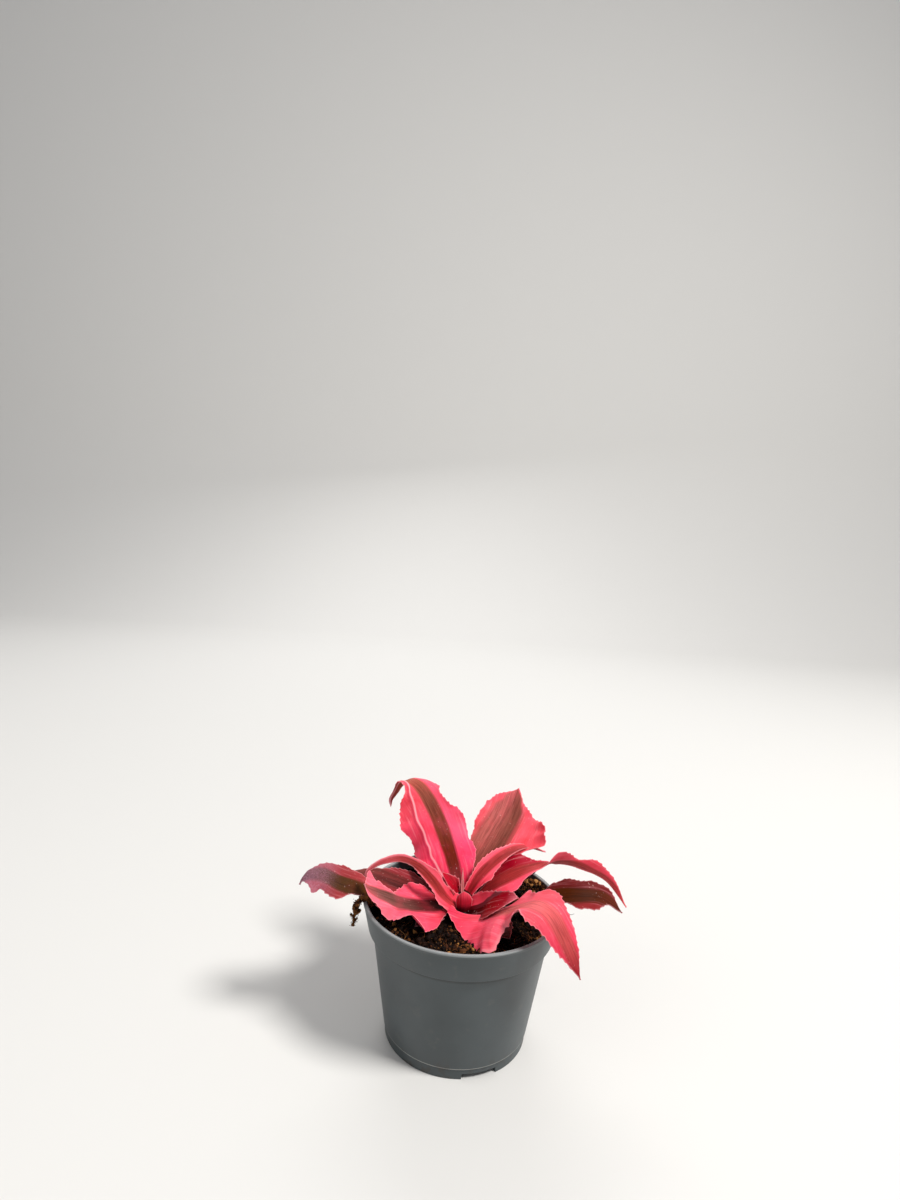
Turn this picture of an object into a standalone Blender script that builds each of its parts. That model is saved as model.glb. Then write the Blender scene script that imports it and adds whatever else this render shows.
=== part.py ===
"""Earth star plant (Cryptanthus) in a round nursery pot, modelled at its real size.

The origin is the middle of the pot's foot, +Z is up, and the plant is seen from the front along +Y.
Sizes below are in millimetres and are multiplied by MM where a mesh is made.
"""

import math

import bmesh
import bpy
import numpy as np

MM = 0.001
GAP = 0.3                       # clearance between two solids that touch

# pot
POT_HEIGHT = 63.1
RIM_RADIUS = 45.0
RIM_LIP = 1.7                   # width of the flat lip around the mouth
RIM_BAND = 13.0                 # height of the thicker band under the lip
BAND_FOOT_RADIUS = 42.2         # outer radius at the band's lower edge
SHOULDER_RADIUS = 40.2          # outer radius of the wall just under the band
WALL_FOOT_RADIUS = 33.0         # outer radius of the wall at the ledge above the foot ring
FOOT_RADIUS = 32.3
FOOT_HEIGHT = 4.8
FLOOR_LIFT = 2.6                # how far the floor stands above the table
PAD_RADIUS = 7.0                # moulded pad under the middle of the floor, level with the foot
WALL = 1.1
NOTCH_COUNT = 3                 # gaps in the foot ring that let water out
NOTCH_FIRST = 289.0             # degrees, the middle of the first notch
NOTCH_WIDTH = 15.5
DRAIN_COUNT = 6
DRAIN_FIRST = 31.6              # degrees, the middle of the first hole in the floor
DRAIN_RADIUS = 3.0
DRAIN_CIRCLE = 22.0
POT_SEGMENTS = 56

# soil and stem
SOIL_LEVEL = 57.0
SOIL_BUMP = 0.55
SOIL_FLAT = 14.0                # radius of the level ground under the rosette
STEM_RADIUS = 6.0
STEM_TOP_RADIUS = 2.0
STEM_TOP = 63.0

# dry root that hangs over the left of the rim, as (x, y, height)
ROOT_ROUTE = [(-38.5, -6.4, 59.2), (-40.5, -6.2, 61.8), (-42.3, -6.0, 63.75), (-44.6, -6.0, 63.9),
              (-46.5, -4.8, 62.4), (-47.4, -4.6, 58.0), (-48.2, -4.2, 53.0), (-49.2, -4.6, 49.2)]
ROOT_THICKNESS = 1.1

# leaves
LEAF_THICKNESS = 0.8
MARGIN_THICKNESS = 0.5
LEAF_STATIONS = 15              # steps along a leaf
LEAF_STRIPS = 6                 # steps across a leaf

# Each leaf: the compass angle it grows towards, its full width, and the midrib's route as
# (reach from the plant's axis, height, sideways shift).  roll turns the blade about its midrib,
# cup bends each half of it up from the midrib and edge bends the outer part of that half; lobe
# widens a half.  All of these are read along the leaf from base to tip, left half L, right half R.
LEAVES = {
    "leaf_tall_left": dict(
        azimuth=124, width=30, base=0.3, peak=0.42, tip=1.5,
        midrib=[(3.4, 64.6, 0), (12, 72.5, -1), (24, 81, -2), (37, 90, -2.5), (49, 97.5, -1.5),
                (56, 98.5, 2), (59, 90, 6), (59, 84, 7)],
        roll=[-5, -15, -20, -20, -15, 0, 20],
        cup_l=[30, 20, 15, 10], cup_r=[30, 15, 10, 10],
        edge_l=[0, 10, -20, 20, -10, 20, 0], edge_r=[0, -20, -50, 20, 30, -70, 10, 0],
        lobe_r=[1, 1.1, 1.15, 1.15, 1, 0.75, 0.9, 1, 1]),
    "leaf_tall_right": dict(
        azimuth=62, width=32, base=0.25, peak=0.55, tip=1.6,
        midrib=[(5, 61.8, 0), (12, 67, -0.5), (22, 73.3, -1), (34, 79.6, -1.5), (47, 86, -1.5), (59, 96, 1)],
        roll=[0, 5, 10, 15, 10],
        cup_l=[30, 20, 10], cup_r=[40, 40, 15],
        edge_l=[0, 0, -30, -20, 0], edge_r=[0, 10, 0, 20, -40, 0],
        lobe_l=[0.8, 0.85, 0.9, 0.95, 1], lobe_r=[0.5, 0.3, 0.3, 0.75, 1.35, 1.35, 1.15, 1]),
    "leaf_right_arching": dict(
        azimuth=34, width=18, base=0.35, peak=0.35, tip=1.2,
        midrib=[(3.2, 64.6, -1), (9, 68.3, -1), (16, 70.8, -1.5), (25, 72.8, -1.5), (37, 74.6, -1),
                (48, 73, -2)],
        roll=[15, 0, 0, -20, -20],
        cup_l=[50, 30, 30], cup_r=[50, 40, 30], lobe_l=[1, 0.6, 0.75, 1, 1]),
    "leaf_right_long": dict(
        azimuth=6, width=24, base=0.35, peak=0.3, tip=1.2,
        midrib=[(6.6, 60.2, -1), (11, 63, 0), (18, 68, 0), (26, 73, 0), (34, 76, 0), (43, 79, 0),
                (51, 79, 1), (59, 76, 1), (69, 70, 1), (78, 58, 0)],
        roll=[10, 15, 20, 5, -50, -60, -50, -40, -30],
        cup_l=[10, 0, 20, 50, 30], cup_r=[20, 20, 20, 30, 30],
        lobe_l=[0.4, 0.35, 0.35, 0.8, 1, 1], lobe_r=[1, 1, 1, 0.55, 0.7, 1, 1, 1, 1]),
    "leaf_right_low": dict(
        azimuth=-10, width=21, base=0.35, peak=0.6, tip=1.7,
        midrib=[(9, 58.2, 0), (22, 61, -1), (33, 66.5, -1), (42, 70.5, -2), (52, 72.5, -2),
                (62, 73, -2), (71, 67, -1)],
        roll=[0, 5, 10, 10, 15], cup_l=[10], cup_r=[10, -10], lobe_r=[0.8, 0.7, 0.65, 0.65]),
    "leaf_front_right": dict(
        azimuth=320, width=28, base=0.5, peak=0.4, tip=1.4,
        midrib=[(2, 60, -9.8), (10, 61.5, -8), (20.5, 65, -5.5), (30, 71, -5), (40, 77, -4),
                (49.5, 77, -4), (56.5, 71, -4), (61.5, 64, -4.5), (64.5, 56, -4.5)],
        roll=[20, 15, 5, 0, 0, -10, -20],
        cup_l=[-20, 0, 10], cup_r=[20, -20, -28, -10, 0, 10, 10],
        edge_l=[0, 0, 20, 0, -20], edge_r=[0, 0, -10, -60, 40, 0, 10],
        lobe_l=[0.4, 0.4, 0.6, 1, 1, 1], lobe_r=[1.2, 1.5, 1.35, 0.8, 0.9, 1, 1]),
    "leaf_left_front": dict(
        azimuth=203, width=28, base=0.3, peak=0.45, tip=1.7,
        midrib=[(7, 60, 0), (12, 61, 0), (21, 63.5, 0), (30, 66.8, 0), (38, 71, 0), (44, 73, 0),
                (47, 71, 0), (48, 67.5, 0)],
        roll=[-4, -2, -10, -10], cup_l=[0, -10, 10], cup_r=[25, 20, 10],
        edge_l=[0, 0, -20, 0, 40, -30, -40, -20, 0], edge_r=[0, 10, 0, 20, 0],
        lobe_l=[1, 1.5, 1.3, 0.9, 0.9, 1, 1]),
    "leaf_left_arching": dict(
        azimuth=176, width=14, base=0.8, peak=0.2, tip=1.6,
        midrib=[(4.6, 62.1, 4.4), (8.3, 66.1, 4.4), (13.5, 70.4, 3.5), (20.5, 75, 1.5), (29, 77, 0),
                (37.5, 75, -0.5), (43.2, 70.2, -1), (44.4, 66.9, -1)],
        roll=[50, 65, 75, 70, 60, 40], cup_l=[20], cup_r=[20], lobe_r=[0.5, 0.8, 1, 1]),
    "leaf_left_low": dict(
        azimuth=167, width=22, base=0.35, peak=0.5, tip=1.5,
        midrib=[(8, 59.6, 0), (16, 60.4, 0), (25, 63, 0), (35, 65.2, 0), (44, 66.6, 0), (54, 65.8, 0)],
        roll=[0, 0, -5, -5], cup_l=[0], cup_r=[10], lobe_r=[1, 1.1, 1.1, 1]),
    "leaf_far_left": dict(
        azimuth=187, width=22, base=0.35, peak=0.6, tip=1.7,
        midrib=[(10, 58, 0), (19, 58.2, 0), (28, 59.2, 0), (37, 62.1, 0), (44, 65.5, 0), (51, 67.5, 0),
                (56.5, 69, 0), (63, 72.5, 0), (69, 73, 0), (73, 69, 0)],
        roll=[0, 0, 0, -10], cup_l=[0], cup_r=[0, 0, -20],
        edge_l=[0, 0, -20, 20, -50, 30],
        lobe_l=[0.9, 0.8, 0.8, 0.8, 1.4, 1.4, 1.2], lobe_r=[0.9, 0.8, 0.8]),
    "leaf_front_inner": dict(
        azimuth=338, width=20, base=0.5, peak=0.35, tip=1.5,
        midrib=[(7.3, 62, -3.6), (10.8, 64.5, -4.5), (16, 68.5, -6.5), (22.5, 72, -8), (29, 75, -10)],
        roll=[-60, -60, -50], cup_l=[20], cup_r=[20], lobe_l=[0.4, 0.5, 0.6, 0.8]),
    "leaf_left_inner": dict(
        azimuth=150, width=12, base=0.5, peak=0.4, tip=1.5,
        midrib=[(4.4, 61.8, 0), (11.5, 64, 0), (19.5, 67, -1), (29, 69.5, -2)],
        roll=[0], cup_l=[30], cup_r=[30]),
    "leaf_heart_left": dict(
        azimuth=150, width=9, base=0.6, peak=0.4, tip=1.5,
        midrib=[(2.4, 64.4, 1.5), (5, 68, 1.2), (11, 72, 1)],
        roll=[0], cup_l=[30], cup_r=[30]),
    "leaf_heart_front": dict(
        azimuth=270, width=6.5, base=0.9, peak=0.4, tip=2.5,
        midrib=[(6.7, 59.8, 0.3), (7.2, 62.5, 0.4), (6.7, 65.5, 0.4), (5.6, 68.6, 0.3)],
        roll=[0], cup_l=[50], cup_r=[50]),
    "leaf_heart_spear": dict(
        azimuth=95, width=3, base=0.8, peak=0.3, tip=1.5,
        midrib=[(0.2, 64, 0), (1.6, 69, 0), (3.6, 75, 0)],
        roll=[0], cup_l=[50], cup_r=[50]),
    "leaf_low_front_left": dict(
        azimuth=222, width=10, base=0.6, peak=0.5, tip=1.6,
        midrib=[(13, 58.1, 0), (17, 58.5, 0), (22, 58.8, 0), (27.5, 58.4, 0)],
        roll=[0], cup_l=[5], cup_r=[5]),
    "leaf_low_front_right": dict(
        azimuth=309, width=18, base=0.5, peak=0.5, tip=1.6,
        midrib=[(13, 58.2, 0), (19, 59, 0), (26, 59.8, 0), (32, 59.2, 0)],
        roll=[0], cup_l=[10], cup_r=[10]),
    "leaf_back_right": dict(
        azimuth=80, width=22, base=0.4, peak=0.5, tip=1.6,
        midrib=[(8, 58.3, 0), (18, 61.5, 0), (30, 66.5, 0), (42, 68.5, 0), (52, 66, 0), (60, 60, 0)],
        roll=[0], cup_l=[10], cup_r=[10]),
    "leaf_back_left": dict(
        azimuth=112, width=22, base=0.4, peak=0.5, tip=1.6,
        midrib=[(7, 60.5, 0), (20, 64.5, 0), (33, 69, 0), (44, 70, 0), (54, 67, 0), (62, 60, 0)],
        roll=[0], cup_l=[10], cup_r=[10]),
}


def principled(name, colour, roughness, metallic=0.0):
    """A material whose Principled BSDF has the given colour (linear RGB) and finish."""
    material = bpy.data.materials.get(name) or bpy.data.materials.new(name)
    material.use_nodes = True
    shader = material.node_tree.nodes["Principled BSDF"]
    shader.inputs["Base Color"].default_value = (*colour, 1.0)
    shader.inputs["Roughness"].default_value = roughness
    shader.inputs["Metallic"].default_value = metallic
    material.diffuse_color = (*colour, 1.0)
    return material


def add_object(name, points, faces, material, crease=40.0):
    """A mesh object from points in millimetres, smooth shaded up to the crease angle."""
    mesh = bpy.data.meshes.new(name)
    mesh.from_pydata((np.asarray(points) * MM).tolist(), [], faces)
    shape = bmesh.new()
    shape.from_mesh(mesh)
    bmesh.ops.recalc_face_normals(shape, faces=shape.faces)
    shape.to_mesh(mesh)
    shape.free()
    mesh.shade_smooth()
    mesh.set_sharp_from_angle(angle=math.radians(crease))
    mesh.materials.append(material)
    piece = bpy.data.objects.new(name, mesh)
    bpy.context.scene.collection.objects.link(piece)
    return piece


def turned(profile, segments, lift=None):
    """A closed turned solid.  The profile runs from the axis and back to it as (radius, height);
    lift(radius, angle), where given, raises the points of the profile's last stretch."""
    angles = np.linspace(0.0, 2.0 * math.pi, segments, endpoint=False)
    points = [(0.0, 0.0, profile[0][1])]
    for radius, height, *lifted in profile[1:-1]:
        for angle in angles:
            rise = lift(radius, angle) if lifted else 0.0
            points.append((radius * math.cos(angle), radius * math.sin(angle), height + rise))
    points.append((0.0, 0.0, profile[-1][1]))
    last = len(points) - 1
    final_ring = last - segments
    faces = []
    for j in range(segments):
        k = (j + 1) % segments
        faces.append((0, 1 + k, 1 + j))
        faces.append((last, final_ring + j, final_ring + k))
        for start in range(1, final_ring, segments):
            faces.append((start + j, start + k, start + segments + k, start + segments + j))
    return points, faces


def eased(values, along):
    """Values spread evenly from base to tip, read at each station with a smooth step between them."""
    values = np.asarray(values, dtype=float)
    if len(values) == 1:
        return np.full_like(along, values[0])
    place = along * (len(values) - 1)
    before = np.minimum(place.astype(int), len(values) - 2)
    step = place - before
    step = step * step * (3.0 - 2.0 * step)
    return values[before] * (1.0 - step) + values[before + 1] * step


def smooth_route(route, count):
    """Points at equal spacing along a Catmull-Rom curve through the route."""
    route = np.asarray(route, dtype=float)
    ends = np.vstack([2.0 * route[0] - route[1], route, 2.0 * route[-1] - route[-2]])
    place = np.linspace(0.0, len(route) - 1.0, 400)
    span = np.minimum(place.astype(int), len(route) - 2)
    t = (place - span)[:, None]
    a, b, c, d = (ends[span + k] for k in range(4))
    curve = b + 0.5 * t * (c - a) + t ** 2 * (a - 2.5 * b + 2.0 * c - 0.5 * d)
    curve += t ** 3 * (1.5 * (b - c) + 0.5 * (d - a))
    run = np.r_[0.0, np.cumsum(np.linalg.norm(np.diff(curve, axis=0), axis=1))]
    stations = np.linspace(0.0, run[-1], count)
    return np.stack([np.interp(stations, run, curve[:, k]) for k in range(curve.shape[1])], axis=1)


def half_width(leaf, along):
    """Half the blade's width: it swells from the base to its peak and narrows to a pointed tip."""
    peak, base = leaf["peak"], leaf["base"]
    swell = base + (1.0 - base) * np.sin(math.pi / 2.0 * np.clip(along / peak, 0.0, 1.0)) ** 1.8
    past = np.clip((along - peak) / (1.0 - peak), 0.0, 1.0)
    taper = (1.0 - past ** leaf["tip"]) * (1.0 - 0.15 * past)
    return np.maximum(0.5 * leaf["width"] * np.where(along < peak, swell, taper), MARGIN_THICKNESS)


def blade(leaf, stations, strips):
    """The leaf's middle surface as a grid of points, base to tip by right margin to left margin.

    The midrib follows its route; across it each half is a curve whose slope grows from the midrib
    as cup * x + edge * x**2, with x from 0 at the midrib to 1 at the margin.
    """
    along = np.linspace(0.0, 1.0, stations)
    azimuth = math.radians(leaf["azimuth"])
    outward = np.array([math.cos(azimuth), math.sin(azimuth), 0.0])
    leftward = np.array([-math.sin(azimuth), math.cos(azimuth), 0.0])
    reach, height, shift = smooth_route(leaf["midrib"], stations).T
    midrib = reach[:, None] * outward + shift[:, None] * leftward + height[:, None] * (0.0, 0.0, 1.0)
    tangent = np.gradient(midrib, axis=0)
    tangent /= np.linalg.norm(tangent, axis=1)[:, None]
    across = leftward - (tangent @ leftward)[:, None] * tangent
    across /= np.linalg.norm(across, axis=1)[:, None]
    normal = np.cross(tangent, across)
    roll = np.radians(eased(leaf["roll"], along))[:, None]
    across, normal = (across * np.cos(roll) + normal * np.sin(roll),
                      normal * np.cos(roll) - across * np.sin(roll))
    grid = np.empty((stations, strips + 1, 3))
    for column, place in enumerate(np.linspace(-1.0, 1.0, strips + 1)):
        side = "l" if place > 0.0 else "r"
        cup = np.radians(eased(leaf["cup_" + side], along))[:, None]
        edge = np.radians(eased(leaf.get("edge_" + side, [0.0]), along))[:, None]
        reach_out = half_width(leaf, along) * eased(leaf.get("lobe_" + side, [1.0]), along)
        x = np.linspace(0.0, abs(place), 33)[None, :]
        slope = cup * x + edge * x ** 2
        sideways = np.cos(slope).mean(axis=1) * place * reach_out
        upward = np.sin(slope).mean(axis=1) * abs(place) * reach_out
        grid[:, column] = midrib + across * sideways[:, None] + normal * upward[:, None]
    return grid


def leaf_solid(leaf, stations, strips):
    """The blade given its thickness: two skins half a thickness either side, joined at the edge."""
    grid = blade(leaf, stations, strips)
    normal = np.cross(np.gradient(grid, axis=0), np.gradient(grid, axis=1))
    normal /= np.linalg.norm(normal, axis=2)[:, :, None]
    place = np.abs(np.linspace(-1.0, 1.0, strips + 1))
    half = 0.5 * (LEAF_THICKNESS + (MARGIN_THICKNESS - LEAF_THICKNESS) * place ** 2)
    upper = (grid + normal * half[None, :, None]).reshape(-1, 3)
    lower = (grid - normal * half[None, :, None]).reshape(-1, 3)
    under = len(upper)
    columns = strips + 1
    faces = []
    for i in range(stations - 1):
        for j in range(strips):
            a = i * columns + j
            b = a + columns
            faces.append((a, b, b + 1, a + 1))
            faces.append((under + a, under + a + 1, under + b + 1, under + b))
    rim = [j for j in range(columns)]
    rim += [i * columns + strips for i in range(1, stations)]
    rim += [(stations - 1) * columns + j for j in range(strips - 1, -1, -1)]
    rim += [i * columns for i in range(stations - 2, 0, -1)]
    for a, b in zip(rim, rim[1:] + rim[:1]):
        faces.append((a, b, under + b, under + a))
    return np.vstack([upper, lower]), faces


def cutter(name, points, faces, target):
    """A closed shape that is taken out of the target with an exact Boolean."""
    tool = add_object(name, points, faces, target.data.materials[0])
    tool.hide_render = True
    tool.display_type = "WIRE"
    cut = target.modifiers.new(name, "BOOLEAN")
    cut.operation = "DIFFERENCE"
    cut.object = tool
    return tool


def box(centre, size, turn):
    """A box of the given size around its centre, turned about +Z."""
    c, s = math.cos(turn), math.sin(turn)
    points = []
    for z in (-0.5, 0.5):
        for x, y in ((-0.5, -0.5), (0.5, -0.5), (0.5, 0.5), (-0.5, 0.5)):
            dx, dy = x * size[0], y * size[1]
            points.append((centre[0] + dx * c - dy * s, centre[1] + dx * s + dy * c,
                           centre[2] + z * size[2]))
    faces = [(0, 3, 2, 1), (4, 5, 6, 7), (0, 1, 5, 4), (1, 2, 6, 5), (2, 3, 7, 6), (3, 0, 4, 7)]
    return points, faces


def make_pot(material):
    """The pot: notched foot ring, middle pad, tapered wall, thicker band and lip, drained floor."""
    band_foot = POT_HEIGHT - RIM_BAND
    floor_top = FLOOR_LIFT + WALL
    mouth = RIM_RADIUS - RIM_LIP
    profile = [
        (0.0, 0.0),
        (PAD_RADIUS, 0.0),
        (PAD_RADIUS + 0.4, FLOOR_LIFT),
        (FOOT_RADIUS - 1.3 * WALL, FLOOR_LIFT),
        (FOOT_RADIUS - 1.3 * WALL, 0.0),
        (FOOT_RADIUS - 0.3, 0.0),
        (FOOT_RADIUS, 0.3),
        (FOOT_RADIUS + 0.1, FOOT_HEIGHT - 0.3),
        (WALL_FOOT_RADIUS, FOOT_HEIGHT),
        (SHOULDER_RADIUS, band_foot),
        (BAND_FOOT_RADIUS, band_foot + 0.5),
        (RIM_RADIUS - 0.5, POT_HEIGHT - 1.2),
        (RIM_RADIUS, POT_HEIGHT - 0.8),
        (RIM_RADIUS - 0.2, POT_HEIGHT),
        (mouth, POT_HEIGHT),
        (mouth - 0.3, POT_HEIGHT - 1.0),
        (SHOULDER_RADIUS - WALL, band_foot),
        (WALL_FOOT_RADIUS - WALL, FOOT_HEIGHT + 0.6),
        (WALL_FOOT_RADIUS - WALL - 1.0, floor_top),
        (0.0, floor_top),
    ]
    pot = add_object("nursery_pot", *turned(profile, POT_SEGMENTS), material)
    for number in range(NOTCH_COUNT):
        turn = math.radians(NOTCH_FIRST + 360.0 * number / NOTCH_COUNT)
        centre = (FOOT_RADIUS * math.cos(turn), FOOT_RADIUS * math.sin(turn), 0.0)
        size = (6.0 * WALL, NOTCH_WIDTH, 2.0 * (FLOOR_LIFT - 0.2))
        cutter(f"notch_cutter_{number}", *box(centre, size, turn), pot)
    for number in range(DRAIN_COUNT):
        turn = math.radians(DRAIN_FIRST + 360.0 * number / DRAIN_COUNT)
        ring = [(DRAIN_CIRCLE * math.cos(turn) + DRAIN_RADIUS * math.cos(a),
                 DRAIN_CIRCLE * math.sin(turn) + DRAIN_RADIUS * math.sin(a))
                for a in np.linspace(0.0, 2.0 * math.pi, 12, endpoint=False)]
        points = [(x, y, 0.5 * FLOOR_LIFT) for x, y in ring] + [(x, y, 2.0 * floor_top) for x, y in ring]
        faces = [tuple(range(11, -1, -1)), tuple(range(12, 24))]
        faces += [(k, (k + 1) % 12, 12 + (k + 1) % 12, 12 + k) for k in range(12)]
        cutter(f"drain_cutter_{number}", points, faces, pot)
    return pot


def soil_lift(radius, angle):
    """Height of the soil's lumps above its level, dying out under the rosette."""
    rise = math.sin(0.55 * radius + 3.0 * angle) + math.sin(0.31 * radius - 5.0 * angle + 1.0)
    return SOIL_BUMP * rise * min(1.0, max(0.0, (radius - SOIL_FLAT) / 8.0))


def make_soil(material):
    """The potting soil, one body that fills the pot up to a lumpy top."""
    floor_top = FLOOR_LIFT + WALL
    inner = WALL + GAP
    band_foot = POT_HEIGHT - RIM_BAND
    mouth = RIM_RADIUS - RIM_LIP - 0.3
    share = (SOIL_LEVEL - band_foot) / (POT_HEIGHT - 1.0 - band_foot)
    top_radius = (SHOULDER_RADIUS - WALL) + share * (mouth - SHOULDER_RADIUS + WALL) - 1.6 * GAP
    profile = [
        (0.0, floor_top + GAP),
        (WALL_FOOT_RADIUS - inner - 1.3, floor_top + GAP),
        (WALL_FOOT_RADIUS - inner - 0.1, FOOT_HEIGHT + 1.0),
        (SHOULDER_RADIUS - inner - 0.1, band_foot),
        (top_radius, SOIL_LEVEL),
    ]
    for radius in np.linspace(top_radius - 2.5, 8.0, 8):
        profile.append((radius, SOIL_LEVEL, "lifted"))
    profile.append((0.0, SOIL_LEVEL))
    return add_object("potting_soil", *turned(profile, 48, soil_lift), material)


def make_stem(material):
    """The short stump that carries the leaves; it stands on the soil."""
    foot = SOIL_LEVEL + GAP
    profile = [(0.0, foot), (STEM_RADIUS, foot), (STEM_RADIUS, foot + 0.8)]
    profile += [(STEM_TOP_RADIUS + (STEM_RADIUS - STEM_TOP_RADIUS) * 0.5, 0.5 * (foot + STEM_TOP) + 0.8),
                (STEM_TOP_RADIUS, STEM_TOP - 0.4), (0.0, STEM_TOP)]
    return add_object("short_stem", *turned(profile, 20), material)


def make_root(material):
    """The dry root over the rim, a thin round cord."""
    curve = bpy.data.curves.new("dry_root", "CURVE")
    curve.dimensions = "3D"
    curve.bevel_depth = 0.5 * ROOT_THICKNESS * MM
    curve.bevel_resolution = 2
    curve.use_fill_caps = True
    route = smooth_route(ROOT_ROUTE, 16)
    spline = curve.splines.new("POLY")
    spline.points.add(len(route) - 1)
    for point, place in zip(spline.points, route):
        point.co = (*(place * MM), 1.0)
    curve.materials.append(material)
    piece = bpy.data.objects.new("dry_root", curve)
    bpy.context.scene.collection.objects.link(piece)
    return piece


def main():
    for old in list(bpy.data.objects):
        bpy.data.objects.remove(old)
    make_pot(principled("pot_plastic", (0.10, 0.12, 0.125), 0.42))
    make_soil(principled("peat_soil", (0.020, 0.011, 0.007), 0.95))
    make_stem(principled("stem_tissue", (0.32, 0.05, 0.05), 0.6))
    make_root(principled("root_fibre", (0.12, 0.06, 0.02), 0.9))
    blade_tissue = principled("leaf_tissue", (0.72, 0.07, 0.13), 0.45)
    for name, leaf in LEAVES.items():
        small = leaf["width"] < 10
        stations, strips = (9, 4) if small else (LEAF_STATIONS, LEAF_STRIPS)
        add_object(name, *leaf_solid(leaf, stations, strips), blade_tissue, crease=60.0)


main()
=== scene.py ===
import math

import bpy
import numpy as np
from mathutils import Matrix


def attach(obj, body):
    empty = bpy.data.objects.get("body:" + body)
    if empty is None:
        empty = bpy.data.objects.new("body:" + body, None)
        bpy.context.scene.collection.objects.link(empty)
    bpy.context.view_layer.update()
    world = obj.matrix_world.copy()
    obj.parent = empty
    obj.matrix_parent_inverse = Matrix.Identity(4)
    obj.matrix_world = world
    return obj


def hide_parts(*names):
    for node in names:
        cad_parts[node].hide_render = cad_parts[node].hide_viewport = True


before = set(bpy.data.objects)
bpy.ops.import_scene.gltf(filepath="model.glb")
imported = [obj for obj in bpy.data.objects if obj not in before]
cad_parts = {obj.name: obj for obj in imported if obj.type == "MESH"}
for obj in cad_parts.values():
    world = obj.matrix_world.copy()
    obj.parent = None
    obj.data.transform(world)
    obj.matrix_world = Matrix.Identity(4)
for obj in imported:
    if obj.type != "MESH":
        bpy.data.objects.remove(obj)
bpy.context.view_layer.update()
mm = 0.001   # in metres; sizes below are in millimetres where no note says otherwise
print("frame loaded")


class Link:
    # a socket: arithmetic on it adds Math nodes to the tree that is being built
    tree = None

    def __init__(self, socket):
        self.socket = socket

    @classmethod
    def node(cls, kind, settings, sockets, output=0):
        # any node, from its type, its settings and the values or links of its sockets
        made = cls.tree.nodes.new(kind)
        for key, value in settings.items():
            if key == "stops":
                ramp = made.color_ramp
                while len(ramp.elements) < len(value):
                    ramp.elements.new(0.5)
                for element, (place, colour) in zip(ramp.elements, value):
                    element.position = place
                    element.color = (*colour, 1.0)
            else:
                setattr(made, key, value)
        for key, value in sockets.items():
            target = made.inputs[key]
            if isinstance(value, Link):
                cls.tree.links.new(value.socket, target)
            elif isinstance(value, tuple) and target.type == "RGBA":
                target.default_value = (*value, 1.0)
            else:
                target.default_value = value
        return cls(made.outputs[output])

    @classmethod
    def maths(cls, operation, *values):
        # a Math node that takes the values in their order
        return cls.node("ShaderNodeMath", {"operation": operation}, dict(enumerate(values)))

    def __add__(self, other):
        return self.maths("ADD", self, other)

    def __radd__(self, other):
        return self.maths("ADD", other, self)

    def __sub__(self, other):
        return self.maths("SUBTRACT", self, other)

    def __rsub__(self, other):
        return self.maths("SUBTRACT", other, self)

    def __mul__(self, other):
        return self.maths("MULTIPLY", self, other)

    def __rmul__(self, other):
        return self.maths("MULTIPLY", other, self)

    def __abs__(self):
        return self.maths("ABSOLUTE", self)

    def between(self, low, high):
        # 0 below low, 1 above high, eased in between; low above high turns it round
        step = self.node("ShaderNodeMapRange", {"interpolation_type": "SMOOTHSTEP"},
                         {"Value": self, "From Min": min(low, high), "From Max": max(low, high)})
        return 1.0 - step if low > high else step


def attribute(name):
    # the number that every point of the piece holds under this name
    return Link.node("ShaderNodeAttribute", {"attribute_name": name}, {}, 2)


def tint(name):
    # the colour that every point of the piece holds under this name
    return Link.node("ShaderNodeAttribute", {"attribute_name": name}, {}, 0)


def vector(x, y, z):
    # three numbers as one vector
    return Link.node("ShaderNodeCombineXYZ", {}, {"X": x, "Y": y, "Z": z})


def part(place, which):
    # one number of a vector: 0 for X, 1 for Y, 2 for Z
    return Link.node("ShaderNodeSeparateXYZ", {}, {0: place}, which)


def noise(place, scale, detail=3.0, roughness=0.55):
    # cloudy noise from 0 to 1 in blots about 1 / scale wide, with finer ones added detail times
    return Link.node("ShaderNodeTexNoise", {},
                     {"Vector": place, "Scale": scale, "Detail": detail, "Roughness": roughness})


def mixed(share, first, second, blend="MIX"):
    # first * (1 - share) + blended * share, where blended is the second colour put on the first
    return Link.node("ShaderNodeMix", {"data_type": "RGBA", "blend_type": blend},
                     {0: share, 6: first, 7: second}, 2)


def objectPlace():
    # the point's place in the piece's own metres
    return Link.node("ShaderNodeTexCoord", {}, {}, 3)


def bump(height, distance, strength):
    # the normal of a surface raised by height times distance, in metres, and weighed by strength
    return Link.node("ShaderNodeBump", {}, {"Strength": strength, "Distance": distance, "Height": height})


def material(name, look, constants):
    # the look gives what varies over the surface, the constants go straight onto the sockets
    made = bpy.data.materials.new(name)
    made.use_nodes = True
    Link.tree = made.node_tree
    shader = made.node_tree.nodes["Principled BSDF"]
    for key, value in constants.items():
        shader.inputs[key].default_value = value
    for key, link in look().items():
        Link.tree.links.new(link.socket, shader.inputs[key])
    return made


def placed(name, data):
    # a new object at the origin, linked to the scene
    made = bpy.data.objects.new(name, data)
    bpy.context.scene.collection.objects.link(made)
    return made


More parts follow.
